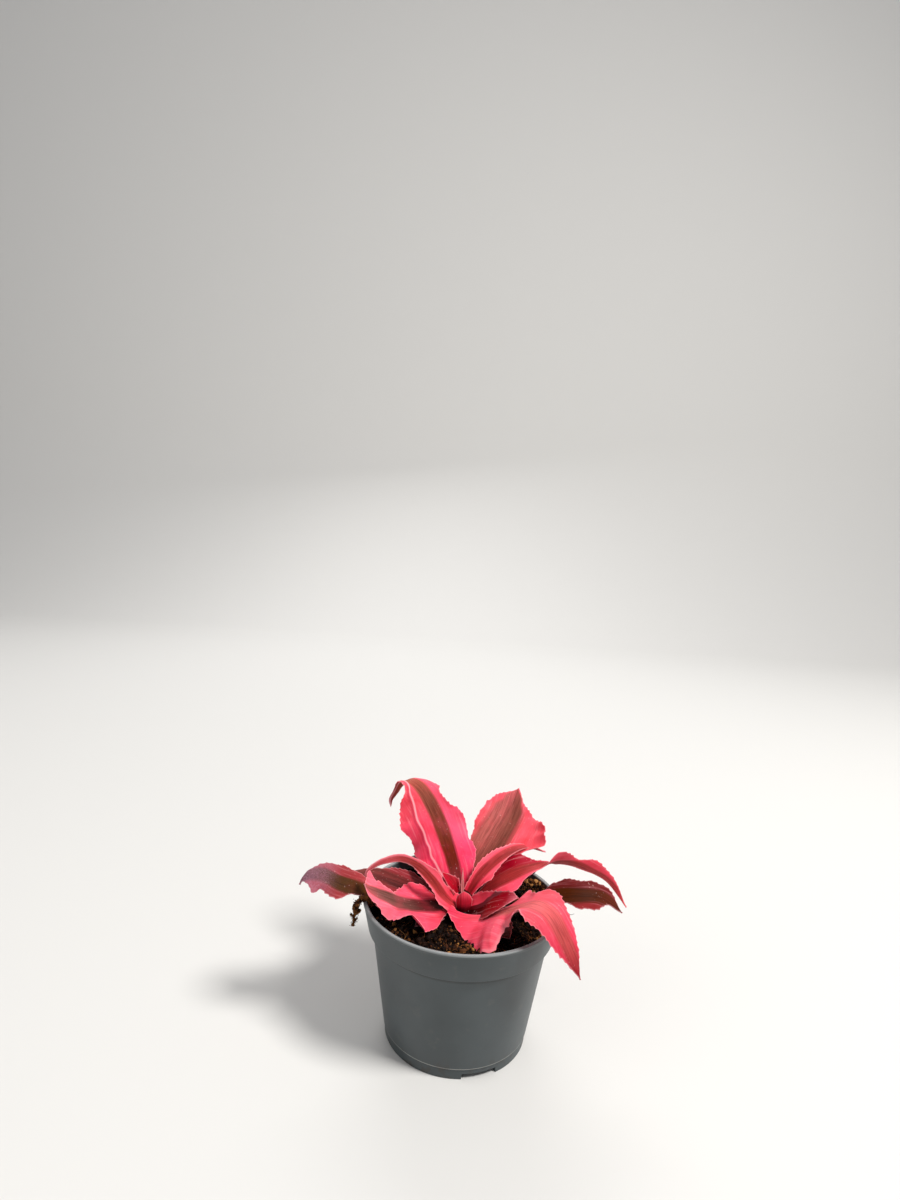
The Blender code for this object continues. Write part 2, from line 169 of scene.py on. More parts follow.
def addPiece(name, points, faces, finish, replaced=(), uv=None, fields=None, crease=None):
    # points in millimetres; uv and fields are given for each point
    mesh = bpy.data.meshes.new(name)
    mesh.from_pydata((np.asarray(points) * mm).tolist(), [], [tuple(face) for face in faces])
    if uv is not None:
        corner = np.empty(len(mesh.loops), np.int32)
        mesh.loops.foreach_get("vertex_index", corner)
        layer = mesh.uv_layers.new(name="blade")
        layer.data.foreach_set("uv", np.asarray(uv, np.float32)[corner].ravel())
    for key, values in (fields or {}).items():
        values = np.asarray(values, np.float32)
        if values.ndim == 2:
            values = np.hstack([values, np.ones((len(values), 1), np.float32)])
            mesh.attributes.new(key, "FLOAT_COLOR", "POINT").data.foreach_set("color", values.ravel())
        else:
            mesh.attributes.new(key, "FLOAT", "POINT").data.foreach_set("value", values)
    mesh.shade_smooth()
    if crease is not None:
        mesh.set_sharp_from_angle(angle=math.radians(crease))
    mesh.materials.append(finish)
    piece = placed(name, mesh)
    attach(piece, "root")
    if replaced:
        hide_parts(*replaced)
    return piece


def gridFaces(rows, columns, wrapped=False, start=0):
    # quads between neighbouring rows and columns of a grid of points
    i, j = np.meshgrid(np.arange(rows - 1), np.arange(columns - (not wrapped)), indexing="ij")
    k = (j + 1) % columns
    a = start + i * columns
    return np.stack([a + j, a + k, a + columns + k, a + columns + j], -1).reshape(-1, 4)


def wholeTurn(count):
    # that many angles, spread evenly round one turn from 0
    return np.linspace(0.0, 2.0 * math.pi, count, endpoint=False)


def ringPoints(radius, height, turns):
    # points round the upright axis, at a radius and a height for every turn
    x, y, z = np.broadcast_arrays(radius * np.cos(turns), radius * np.sin(turns), height)
    return np.stack([x, y, z], -1)


def closedRound(rings, first, last):
    # rings of points joined by quads, with a fan to a pole on the axis at both ends
    rows, count = rings.shape[:2]
    pole = 1 + rows * count
    j = np.arange(count)
    k = (j + 1) % count
    faces = gridFaces(rows, count, wrapped=True, start=1).tolist()
    faces += np.stack([np.zeros_like(j), 1 + k, 1 + j], -1).tolist()
    faces += np.stack([np.full_like(j, pole), pole - count + j, pole - count + k], -1).tolist()
    return np.vstack([[0.0, 0.0, first], rings.reshape(-1, 3), [0.0, 0.0, last]]), faces


def unit(vectors):
    # each vector divided by its length
    return vectors / np.maximum(np.linalg.norm(vectors, axis=-1, keepdims=True), 1e-9)


def runningSum(values, step):
    # the area under each row of values, from 0 at its first column
    area = np.cumsum(0.5 * (values[:, 1:] + values[:, :-1]) * step, axis=1)
    return np.hstack([np.zeros((len(values), 1)), area])


def smoothRoute(route, count):
    # points at equal spacing along a Catmull-Rom curve through the route
    route = np.asarray(route, float)
    ends = np.vstack([2.0 * route[0] - route[1], route, 2.0 * route[-1] - route[-2]])
    place = np.linspace(0.0, len(route) - 1.0, 600)   # fine steps, whose lengths are then added up
    span = np.minimum(place.astype(int), len(route) - 2)
    t = (place - span)[:, None]
    a, b, c, d = (ends[span + k] for k in range(4))
    curve = b + 0.5 * t * (c - a) + t ** 2 * (a - 2.5 * b + 2.0 * c - 0.5 * d)
    curve += t ** 3 * (1.5 * (b - c) + 0.5 * (d - a))
    run = np.r_[0.0, np.cumsum(np.linalg.norm(np.diff(curve, axis=0), axis=1))]
    stations = np.linspace(0.0, run[-1], count)
    return np.stack([np.interp(stations, run, curve[:, k]) for k in range(3)], axis=1), run[-1]


def smoothStep(x, low, high):
    # 3 t^2 - 2 t^3, with t from 0 at low to 1 at high
    t = np.clip((x - low) / (high - low), 0.0, 1.0)
    return t * t * (3.0 - 2.0 * t)


def eased(values, along):
    # values spread evenly from base to tip, with a smooth step from each to the next
    values = np.asarray(values, float)
    if len(values) == 1:
        return np.full_like(along, values[0])
    place = along * (len(values) - 1)
    before = np.minimum(place.astype(int), len(values) - 2)
    step = smoothStep(place - before, 0.0, 1.0)
    return values[before] * (1.0 - step) + values[before + 1] * step


def toned(colours, along):
    # colours from base to tip, given as screen values up to 255, as linear light at each station
    light = (np.asarray(colours, float) / 255.0) ** 2.2
    return np.stack([eased(light[:, k], along) for k in range(3)], axis=1)


def lattice(x, y, size, seed):
    # smooth noise from -1 to 1: random heights on a square lattice, eased between its corners
    many = 64                # corners before the pattern repeats
    table = np.random.default_rng(seed).uniform(-1.0, 1.0, (many, many))
    u, v = np.asarray(x) / size, np.asarray(y) / size
    i, j = np.floor(u).astype(int), np.floor(v).astype(int)
    shareU, shareV = smoothStep(u - i, 0.0, 1.0), smoothStep(v - j, 0.0, 1.0)
    i, j, nextI, nextJ = i % many, j % many, (i + 1) % many, (j + 1) % many
    low = table[i, j] * (1.0 - shareU) + table[nextI, j] * shareU
    high = table[i, nextJ] * (1.0 - shareU) + table[nextI, nextJ] * shareU
    return low * (1.0 - shareV) + high * shareV


leafMake = dict(
    stations=210,            # rows of points from base to tip
    halfStrips=15,           # strips from midrib to margin
    thickness=0.75,          # mm at the midrib
    marginThickness=0.24,
    toothSpacing=2.9,
    toothLengths=(0.65, 1.35),   # shortest and longest tooth, as shares of the spacing
    toothHeight=0.55,
    toothHeights=(0.5, 1.25),    # lowest and highest tooth, as shares of the height
    toothRise=0.72,          # share of its length over which a tooth rises
    toothLean=0.6,           # how far a tooth points to the tip
    toothFrom=0.9,           # share of a half's width at which its teeth start
    fullWidth=(0.5, 5.0),    # half widths between which teeth and waves grow to full size
    rippleLength=9.0,        # mm from wave to wave along the margin
    rippleTurn=8.0,          # degrees that the waves tilt the margin
    rippleShare=0.6,         # mean strength of the waves, and how much it varies
    rippleChange=13.0,       # mm over which it varies
    driftLength=11.0,        # mm over which the waves draw together and apart
    drift=1.3,               # how much they do
    foldSpread=0.08,         # share of a half over which a fold turns
    crease=50.0)             # degrees between faces that meet in a sharp edge
# blades under this width have fewer stations and strips, and this share of the thickness
smallLeaf = dict(width=10.0, stations=70, halfStrips=7, thickness=0.5916)

# Lists run evenly from base to tip, in millimetres and degrees. L and R are the halves to the left
# and right of someone who looks outward from the stem, and a key without either is for both.
# midrib: reach, height and shift to the left. base, peak, tip: share of the width at the base, where
# the blade is widest, and how full its tip is. lobe: each half's width as a share of the even one.
# roll: turn about the midrib, left half up. cup, edge: what a half's slope gains from the midrib to
# the margin, evenly and mostly near the margin. fold: where a half turns sharply, as a share of it,
# and by how much. band, bandShift: half width of the midband and its shift to the left. crease:
# where a pale line, a painted highlight along the fold, runs on the left half, as a share of it.
# hem: how many times wider the pale margin is. scurf: cover of grey scales.
# Colours are screen values, and a colour for L is for all that is left of the band's middle. Besides
# the leaves' own colours they hold painted shade: they darken to deep crimson towards the bases in
# the heart, and some halves and low leaves are dark for the shade they lie in.
leaves = {
    "leaf_tall_left": dict(
        band=[2.4, 3.0, 3.4, 3.4, 3.2, 2.6, 1.8], foldL=(0.5, -35),
        bandColour=[(84, 14, 6), (104, 30, 14), (118, 54, 40), (136, 72, 58), (170, 88, 70), (150, 64, 62)],
        edgeColour=[(190, 30, 60), (246, 66, 102), (253, 92, 122), (252, 86, 110),
                    (250, 86, 104), (165, 47, 56)],
        edgeColourL=[(190, 30, 60), (244, 66, 98), (240, 76, 102), (228, 72, 88),
                     (236, 80, 96), (165, 47, 56)],
        crease=[0.8, 0.75, 0.62, 0.5, 0.54, 0.52, 0.5, 0.5, 0.5, 0.5, 0.5],
        azimuth=124, width=30, base=0.3, peak=0.42, tip=1.5,
        midrib=[(3.4, 64.6, 0), (12, 72.5, -2.5), (24, 81, -5), (37, 90, -6), (49, 97.5, -4.5),
                (56, 98.5, 0.5), (59, 90, 5.5), (58.3, 85, 6.3)],
        roll=[-5, -15, -20, -20, -15, 0, 20],
        cupL=[20, 8, 0, 10, 15, 12, 10], cupR=[30, 15, 10, 10],
        edgeL=[0, 10, -20, 20, -10, 20, 0], edgeR=[0, -20, -50, 20, 30, -70, 10, 0],
        lobeL=[1, 1.4, 1.45, 1.35, 1.12, 1.35, 1.35, 1.4, 0.8, 0.4, 1],
        lobeR=[1, 1.2, 1.4, 1.36, 1.27, 1.1, 0.86, 0.82, 0.82, 0.77, 0.6, 0.56, 0.57, 0.85, 0.95,
               0.72, 0.6, 0.6, 0.7, 0.7, 1]),
    "leaf_tall_right": dict(
        band=[3, 5.6, 8.2, 9.4, 9.2, 9.0, 8.6, 8.0, 4.6, 0.3],
        bandColour=[(100, 36, 30), (110, 54, 44), (124, 66, 56), (126, 68, 58), (150, 76, 70)],
        edgeColour=[(190, 40, 58), (240, 76, 89), (248, 86, 100), (250, 94, 110)],
        bandShift=[0, 0.7, 1.3, 1.9, 2.2, 2.2, 1.9, 1.4, 1.0, 0.5],
        bandColourL=[(120, 44, 42), (150, 76, 68), (176, 92, 86), (178, 92, 88), (186, 92, 92)],
        azimuth=62, width=32, base=0.25, peak=0.55, tip=1.6,
        midrib=[(5, 61.8, 0), (12, 67, -0.5), (22, 73.3, -1), (34, 79.6, -1.5), (47, 86, -1.5),
                (59, 96.5, -1)],
        roll=[0, 5, 10, 15, 10],
        cupL=[30, 28, 25, 20, 15, 15, 22, 32, 30, 25, 10], cupR=[40, 40, 15],
        edgeL=[0, 0, -30, -20, 0], edgeR=[0, 5, 10, 5, 0, 10, 20, 35, -10, -20, 0],
        lobeL=[0.8, 0.8, 0.8, 0.8, 0.8, 0.8, 0.93, 1.08, 1.4, 1.75, 1],
        lobeR=[0.5, 0.35, 0.3, 0.5, 1.2, 1.7, 1.64, 1.69, 1.22, 0.85, 1]),
    "leaf_right_arching": dict(
        band=[1.5, 2.2, 2.4, 2, 1.4],
        bandColour=[(140, 30, 36), (160, 50, 52), (160, 54, 55), (180, 60, 66), (226, 84, 100)],
        edgeColour=[(215, 45, 68), (246, 84, 104), (240, 88, 102), (236, 84, 104)],
        azimuth=34, width=18, base=0.35, peak=0.35, tip=1.2,
        midrib=[(3.2, 64.6, -1), (8, 70.8, -1), (14, 75.5, -1.5), (23, 79, -1.5), (35, 79.5, -1),
                (47.5, 75, -2)],
        roll=[15, 20, 25, 20, 10, 0, -20, -20],
        cupL=[50, 30, 30], cupR=[50, 30, 20, 30], lobeL=[1, 0.6, 0.5, 0.55, 0.7, 0.8, 1],
        lobeR=[1, 1, 0.9, 0.5, 0.4, 0.35, 0.35, 0.4, 0.6, 1, 1]),
    "leaf_right_long": dict(
        band=[2, 3.6, 3, 2, 2, 2, 1.4],
        bandColour=[(120, 20, 26), (165, 50, 50), (172, 60, 58), (190, 64, 64), (240, 78, 84)],
        edgeColour=[(170, 20, 45), (250, 78, 102), (245, 84, 102), (250, 78, 96), (244, 70, 88)],
        # the left half is deep crimson towards the base: painted shade on the far half
        edgeColourL=[(110, 2, 20), (150, 8, 34), (196, 44, 70), (252, 90, 108), (255, 88, 104)],
        azimuth=6, width=24, base=0.35, peak=0.3, tip=1.2,
        midrib=[(6, 63, -1), (10.5, 66, 0), (17, 70.5, 0), (26, 75, 0), (34, 77.7, 0), (43, 80, 0),
                (51, 79, 1), (59, 76, 1), (69, 70, 1), (78, 58, 0)],
        roll=[10, 15, 20, 5, -50, -60, -50, -40, -30],
        cupL=[10, 0, 20, 50, 30], cupR=[20, 20, 20, 30, 30],
        lobeL=[0.4, 0.6, 0.95, 0.9, 0.35, 0.5, 0.55, 0.9, 1, 1, 1],
        lobeR=[1, 1, 1, 0.45, 0.3, 0.85, 0.4, 1.15, 1, 1, 1]),
    "leaf_right_low": dict(
        band=[2, 3, 4.6, 5, 4, 2.5],
        # dull own colours, darkened further as painted shade under the leaves above
        bandColour=[(66, 28, 10), (70, 32, 12), (72, 34, 12), (86, 38, 22)],
        edgeColour=[(90, 30, 28), (134, 42, 44), (140, 44, 46), (120, 38, 40)],
        edgeColourL=[(90, 30, 28), (98, 34, 32), (102, 36, 36), (110, 36, 38)],
        azimuth=-10, width=21, base=0.35, peak=0.6, tip=1.7,
        midrib=[(9, 58.2, 0), (22, 61, -1), (33, 66.5, -1), (42, 70.5, -2), (52, 72.5, -2),
                (62, 73, -2), (71, 67, -1)],
        roll=[0, 5, 10, 10, 15], cupL=[10], cupR=[10, -10],
        lobeL=[1, 0.6, 0.4, 0.3, 0.3, 0.8, 1, 1, 1.25, 1.6, 1],
        lobeR=[0.8, 0.75, 0.7, 0.5, 0.4, 0.4, 0.42, 0.85, 1.1, 0.4, 0.65]),
    "leaf_front_right": dict(
        band=[2, 3.2, 3.6, 3.8, 3.8, 3.4, 2],
        bandColour=[(238, 62, 90), (240, 84, 100), (204, 98, 96), (222, 98, 102),
                    (176, 70, 70), (140, 28, 40)],
        edgeColour=[(240, 59, 86), (248, 81, 105), (236, 88, 106), (226, 84, 98),
                    (215, 66, 88), (165, 28, 50)],
        hemR=[1, 1, 1, 1, 1, 1, 1.5, 5, 7, 7, 5, 1.5, 1, 1, 1, 1, 1, 1, 1, 1, 1],
        azimuth=320, width=28, base=0.5, peak=0.4, tip=1.4,
        midrib=[(1.2, 61.6, -10.6), (10, 61.5, -8), (20.5, 65, -5.5), (30, 71, -5), (40, 77, -4),
                (49, 77, -4.5), (55.5, 71, -5), (60.5, 64, -5), (64.5, 56, -4.5)],
        roll=[20, 15, 5, 0, 0, 0, 0],
        cupL=[-20, 0, 10], cupR=[20, -10, -22, -28, -25, -10, -30, -38, -38, -32, -20],
        edgeL=[0, 0, 20, 0, -20], edgeR=[0, 0, -5, -20, -60, 30, 0, 0, 0, 0, 0],
        lobeL=[0.4, 0.1, 0.06, 0.06, 0.06, 0.15, 0.4, 0.7, 1.28, 1.12, 0.85, 1.25, 1.2, 1.1, 1.1,
               1.2, 1.35, 1.4, 1.6, 1.5, 1],
        lobeR=[0.3, 0.7, 1.05, 1.35, 1.5, 1.55, 1.55, 1.5, 0.62, 0.6, 0.5, 0.75, 0.95, 1.05, 1.1,
               1.15, 1.25, 1.3, 1.3, 1.3, 1]),
    "leaf_left_front": dict(
        band=[2.5, 4.5, 5, 4.6, 3.6, 2], bandShift=[-0.3, 0.7, 1.2, 0.7, -0.3],
        bandColour=[(50, 2, 4), (76, 24, 24), (100, 62, 56), (116, 74, 68), (170, 84, 84)],
        edgeColour=[(104, 2, 13), (240, 72, 95), (251, 86, 110), (254, 103, 122), (250, 106, 122)],
        azimuth=203, width=28, base=0.3, peak=0.45, tip=1.7,
        midrib=[(7, 60, 0), (12, 60.6, 0), (21, 62.4, 0), (30, 65.6, 0), (38, 69.8, 0),
                (43.5, 72.6, 0), (45.8, 74.4, 0), (46.8, 76.4, 0)],
        roll=[-4, -2, -10, -10], cupL=[0, -10, 10], cupR=[25, 20, 10],
        edgeL=[0, 0, -20, 0, 40, -30, -40, -20, 0], edgeR=[0, 10, 0, 20, 0],
        lobeL=[1, 1.2, 1.35, 1.4, 1.45, 1.4, 1.35, 1.35, 1.35, 1.5, 0.85, 0.78, 0.86, 1.05, 1.25,
               1.35, 1.3, 1.45, 1.8, 2.4, 1],
        lobeR=[1, 1.2, 1.4, 1.2, 0.9, 0.6, 0.35, 0.5, 1, 3, 1]),
    "leaf_left_arching": dict(
        band=[1.5, 1.8, 1.8, 1.8, 1.4], bandShift=[0.5, 1.0, 1.0],
        # colours paler towards the tip: painted light
        bandColour=[(180, 50, 58), (158, 54, 52), (164, 60, 58), (196, 76, 82), (230, 108, 118)],
        edgeColour=[(226, 60, 80), (242, 92, 110), (246, 110, 126), (250, 130, 142), (255, 190, 195)],
        azimuth=176, width=14, base=0.8, peak=0.2, tip=1.6,
        midrib=[(2.5, 61, 4.6), (7.5, 65.4, 4.8), (13.2, 72.3, 4), (20.5, 77.6, 2), (29, 79, 0),
                (37.5, 76, -0.5), (44, 71, -1), (46, 66.2, -1.5)],
        roll=[-20, -60, -75, -70, -60, -40], cup=[20],
        lobeL=[1.2, 0.8, 0.5, 0.5, 0.5, 0.4, 0.43, 0.48, 0.45, 0.7, 1],
        lobeR=[1, 0.65, 0.4, 0.55, 0.38, 0.3, 0.37, 0.44, 0.58, 0.8, 1]),
    "leaf_left_low": dict(
        band=[3, 4, 5, 5, 4],
        bandColour=[(60, 6, 10), (96, 28, 30), (112, 46, 42), (118, 54, 48)],
        edgeColour=[(110, 16, 28), (132, 38, 44), (180, 72, 80)],
        azimuth=167, width=22, base=0.35, peak=0.5, tip=1.5,
        midrib=[(8, 59.6, 0), (16, 60.4, 0), (25, 63, 0), (35, 65.2, 0), (44, 66.6, 0), (54, 65.8, 0)],
        roll=[0, 0, -5, -5], cupL=[0], cupR=[10],
        lobeR=[1, 1, 1.1, 1.1, 1.05, 0.95, 0.85, 0.7, 0.65, 0.8, 1]),
    "leaf_far_left": dict(
        band=[3, 4, 4.2, 4.4, 3.6, 3], scurf=[0, 0, 0, 0, 0.1, 0.6, 0.8],
        bandColour=[(70, 34, 14), (78, 44, 14), (74, 44, 14), (72, 46, 20), (104, 70, 74)],
        edgeColour=[(170, 50, 60), (186, 72, 78), (140, 50, 52), (150, 74, 84)],
        azimuth=187, width=22, base=0.35, peak=0.6, tip=1.7,
        midrib=[(10, 58, 0), (19, 58.2, 0), (28, 59.2, 0), (37, 62.1, 0), (44, 65.5, 0), (51, 67.8, 0),
                (56.5, 70, 0), (62.5, 73.6, 0), (68.5, 74, 0), (71.8, 72.2, 0.3), (73.2, 69.6, 0.8)],
        roll=[0, 0, 0, -5, -12, -20, -20, -20, -20, -10], cupL=[0], cupR=[0, 0, -20],
        edgeL=[0, 0, -20, 20, -50, 30],
        lobeL=[0.9, 0.85, 0.8, 0.7, 0.5, 0.25, 0.32, 0.83, 0.9, 2.2, 1],
        lobeR=[0.9, 0.9, 0.8, 0.8, 0.7, 0.7, 0.9, 1.15, 1.2, 1, 1]),
    "leaf_front_inner": dict(
        band=[0.8, 1, 1.1, 1, 0.8, 0.5],
        bandShift=[-1.5, -1.2, -0.6, 0.8, 2.6, 4.2, 5.6, 6.5],
        bandColour=[(80, 6, 14), (120, 48, 56), (140, 72, 80)],
        # the right half is near black to crimson for most of its length: painted shade inside the cup
        edgeColour=[(34, 0, 2), (70, 0, 5), (128, 0, 18), (150, 0, 30), (205, 90, 106)],
        edgeColourL=[(214, 44, 66), (238, 76, 98), (236, 76, 98), (170, 20, 44),
                     (120, 2, 22), (225, 130, 140)],
        azimuth=338, width=20, base=0.5, peak=0.35, tip=1.5,
        midrib=[(4.6, 61.2, -2.8), (10.8, 64.5, -4.5), (16, 68.5, -6.5), (22.5, 72, -8), (29, 75, -10)],
        roll=[40, 30, 20], cup=[30],
        lobeL=[0.7, 0.75, 0.66, 0.52, 0.46, 0.46, 0.49, 0.58, 0.8, 1.1, 1],
        lobeR=[0.9, 0.84, 0.8, 0.85, 0.95, 1.2, 1.3, 1.45, 1.6, 1.7, 1]),
    "leaf_left_inner": dict(
        bandColour=[(120, 20, 28), (150, 45, 50)],
        edgeColour=[(190, 30, 52), (228, 66, 80)],
        azimuth=150, width=12, base=0.5, peak=0.4, tip=1.5,
        midrib=[(4.4, 61.8, 0), (11.5, 64, 0), (19.5, 67, -1), (29, 69.5, -2)],
        cup=[30]),
    "leaf_heart_left": dict(
        bandColour=[(150, 10, 30), (186, 24, 46)],
        edgeColour=[(150, 10, 30), (206, 34, 58)],
        azimuth=150, width=9, base=0.6, peak=0.4, tip=1.5,
        midrib=[(2.4, 64.4, 1.5), (5, 68, 1.2), (11, 72, 1)],
        cup=[30]),
    "leaf_heart_front": dict(
        bandColour=[(100, 3, 14), (170, 26, 46), (226, 70, 90)],
        edgeColour=[(110, 4, 18), (170, 26, 46), (222, 74, 90)],
        lobe=[1, 1, 1, 1.05, 1.05, 1.1, 1],
        azimuth=270, width=8, base=0.9, peak=0.4, tip=3.5,
        midrib=[(6.7, 59.8, 0.6), (7.2, 62.5, 0.7), (6.7, 65.5, 0.7), (5.6, 68.6, 0.5)],
        cup=[50]),
    "leaf_heart_spear": dict(
        bandColour=[(200, 110, 108)],
        edgeColour=[(226, 150, 146)],
        azimuth=95, width=1.5, base=0.8, peak=0.3, tip=1.5,
        midrib=[(0.2, 64, 0), (1.6, 69, 0), (3.6, 75, 0)],
        cup=[50]),
    "leaf_low_front_left": dict(
        # dark crimson as painted shade under the leaves above
        bandColour=[(90, 8, 18)],
        edgeColour=[(110, 10, 24)],
        azimuth=222, width=10, base=0.6, peak=0.5, tip=1.6,
        midrib=[(13, 58.1, 0), (17, 58.5, 0), (22, 58.8, 0), (27.5, 58.4, 0)],
        cup=[5]),
    "leaf_low_front_right": dict(
        # dark crimson as painted shade under the leaves above
        bandColour=[(90, 8, 18)],
        edgeColour=[(110, 10, 24)],
        azimuth=309, width=18, base=0.5, peak=0.5, tip=1.6,
        midrib=[(13, 58.2, 0), (19, 59, 0), (26, 59.8, 0), (32, 59.2, 0)],
        cup=[10]),
    "leaf_back_right": dict(
        bandColour=[(110, 50, 42), (130, 66, 56)],
        edgeColour=[(170, 50, 62), (214, 84, 96)],
        azimuth=80, width=22, base=0.4, peak=0.5, tip=1.6,
        midrib=[(8, 58.3, 0), (18, 61.5, 0), (30, 66.5, 0), (42, 68.5, 0), (52, 66, 0), (60, 60, 0)],
        cup=[10]),
    "leaf_back_left": dict(
        bandColour=[(110, 50, 42), (130, 66, 56)],
        edgeColour=[(170, 50, 62), (214, 84, 96)],
        azimuth=112, width=22, base=0.4, peak=0.5, tip=1.6,
        midrib=[(7, 60.5, 0), (20, 64.5, 0), (33, 69, 0), (44, 70, 0), (54, 67, 0), (62, 60, 0)],
        cup=[10]),
}


def halfWidth(leaf, along):
    # swells from the base to its peak and narrows to a pointed tip
    peak, base = leaf["peak"], leaf["base"]
    swell = base + (1.0 - base) * np.sin(math.pi / 2.0 * np.clip(along / peak, 0.0, 1.0)) ** 1.8
    past = np.clip((along - peak) / (1.0 - peak), 0.0, 1.0)
    taper = (1.0 - past ** leaf["tip"]) * (1.0 - 0.15 * past)
    return np.maximum(0.5 * leaf["width"] * np.where(along < peak, swell, taper), 0.12)


def ofHalf(leaf, key, side, along, usual):
    # a list for one half, or else the one for both
    return eased(leaf.get(key + side, leaf.get(key, [usual])), along)[:, None]


def teeth(run, rng):
    # along the margin: each tooth rises in a hollow curve to its point and drops back steeply
    many, rise = 80, leafMake["toothRise"]
    spacing = leafMake["toothSpacing"] * rng.uniform(*leafMake["toothLengths"], many)
    starts = np.r_[0.0, np.cumsum(spacing)]
    which = np.clip(np.searchsorted(starts, run, side="right") - 1, 0, many - 1)
    place = np.clip((run - starts[which]) / spacing[which], 0.0, 1.0)
    height = rng.uniform(*leafMake["toothHeights"], many)[which]
    return height * np.where(place < rise, (place / rise) ** 2.0, ((1.0 - place) / (1.0 - rise)) ** 0.9)


def bladeGrid(leaf, stations, halfStrips, rng):
    # the middle surface: rows from base to tip, columns from the right margin to the left one
    along = np.linspace(0.0, 1.0, stations)
    azimuth = math.radians(leaf["azimuth"])
    outward = np.array([math.cos(azimuth), math.sin(azimuth), 0.0])
    leftward = np.array([-math.sin(azimuth), math.cos(azimuth), 0.0])
    route, length = smoothRoute(leaf["midrib"], stations)
    midrib = route[:, :1] * outward + route[:, 2:] * leftward + route[:, 1:2] * np.array([0.0, 0.0, 1.0])
    tangent = unit(np.gradient(midrib, axis=0))
    across = unit(leftward - (tangent @ leftward)[:, None] * tangent)
    normal = np.cross(tangent, across)
    roll = np.radians(eased(leaf.get("roll", [0.0]), along))[:, None]
    across, normal = (across * np.cos(roll) + normal * np.sin(roll),
                      normal * np.cos(roll) - across * np.sin(roll))
    # across each half the slope is cup * t + edge * t^2 + wave * t^4, with t from 0 at the midrib
    # to 1 at the margin, plus a sharp turn where the half has a fold, and the half's curve is the
    # running sum of that slope
    t = np.sin(np.linspace(0.0, math.pi / 2.0, halfStrips + 1))
    run = along * length
    halves = {}
    for side, sign in (("R", -1.0), ("L", 1.0)):
        cup, edge = (np.radians(ofHalf(leaf, key, side, along, 0.0)) for key in ("cup", "edge"))
        reach = halfWidth(leaf, along)[:, None] * ofHalf(leaf, "lobe", side, along, 1.0)
        full = smoothStep(reach[:, 0], *leafMake["fullWidth"])
        phase = rng.uniform(0.0, 2.0 * math.pi)
        seedRow = rng.uniform(0.0, 400.0)
        drift = leafMake["drift"] * np.sin(run / leafMake["driftLength"] + phase)
        wave = np.sin(2.0 * math.pi * run / leafMake["rippleLength"] + phase + drift)
        change = lattice(run, np.full_like(run, seedRow), leafMake["rippleChange"], 5)
        wave = wave * leafMake["rippleShare"] * (1.0 + change)
        wave = np.radians(leafMake["rippleTurn"] * wave * full)[:, None]
        foldPlace, foldTurn = leaf.get("fold" + side, (0.5, 0.0))
        spread = leafMake["foldSpread"]
        slope = cup * t + edge * t ** 2 + wave * t ** 4
        slope = slope + math.radians(foldTurn) * smoothStep(t, foldPlace - spread, foldPlace + spread)
        sideways = reach * runningSum(np.cos(slope), np.diff(t))
        upward = reach * runningSum(np.sin(slope), np.diff(t))
        half = midrib[:, None, :] + sign * sideways[..., None] * across[:, None, :]
        half = half + upward[..., None] * normal[:, None, :]
        outer = unit(half[:, -1] - half[:, -2])
        margin = np.r_[0.0, np.cumsum(np.linalg.norm(np.diff(half[:, -1], axis=0), axis=1))]
        tooth = teeth(margin, rng) * leafMake["toothHeight"] * full
        point = outer + leafMake["toothLean"] * tangent
        share = smoothStep(t, leafMake["toothFrom"], 1.0)
        halves[side] = half + (tooth[:, None] * share)[..., None] * point[:, None, :]
    grid = np.concatenate([halves["R"][:, :0:-1], halves["L"]], axis=1)
    return grid, np.r_[-t[:0:-1], t], along, length


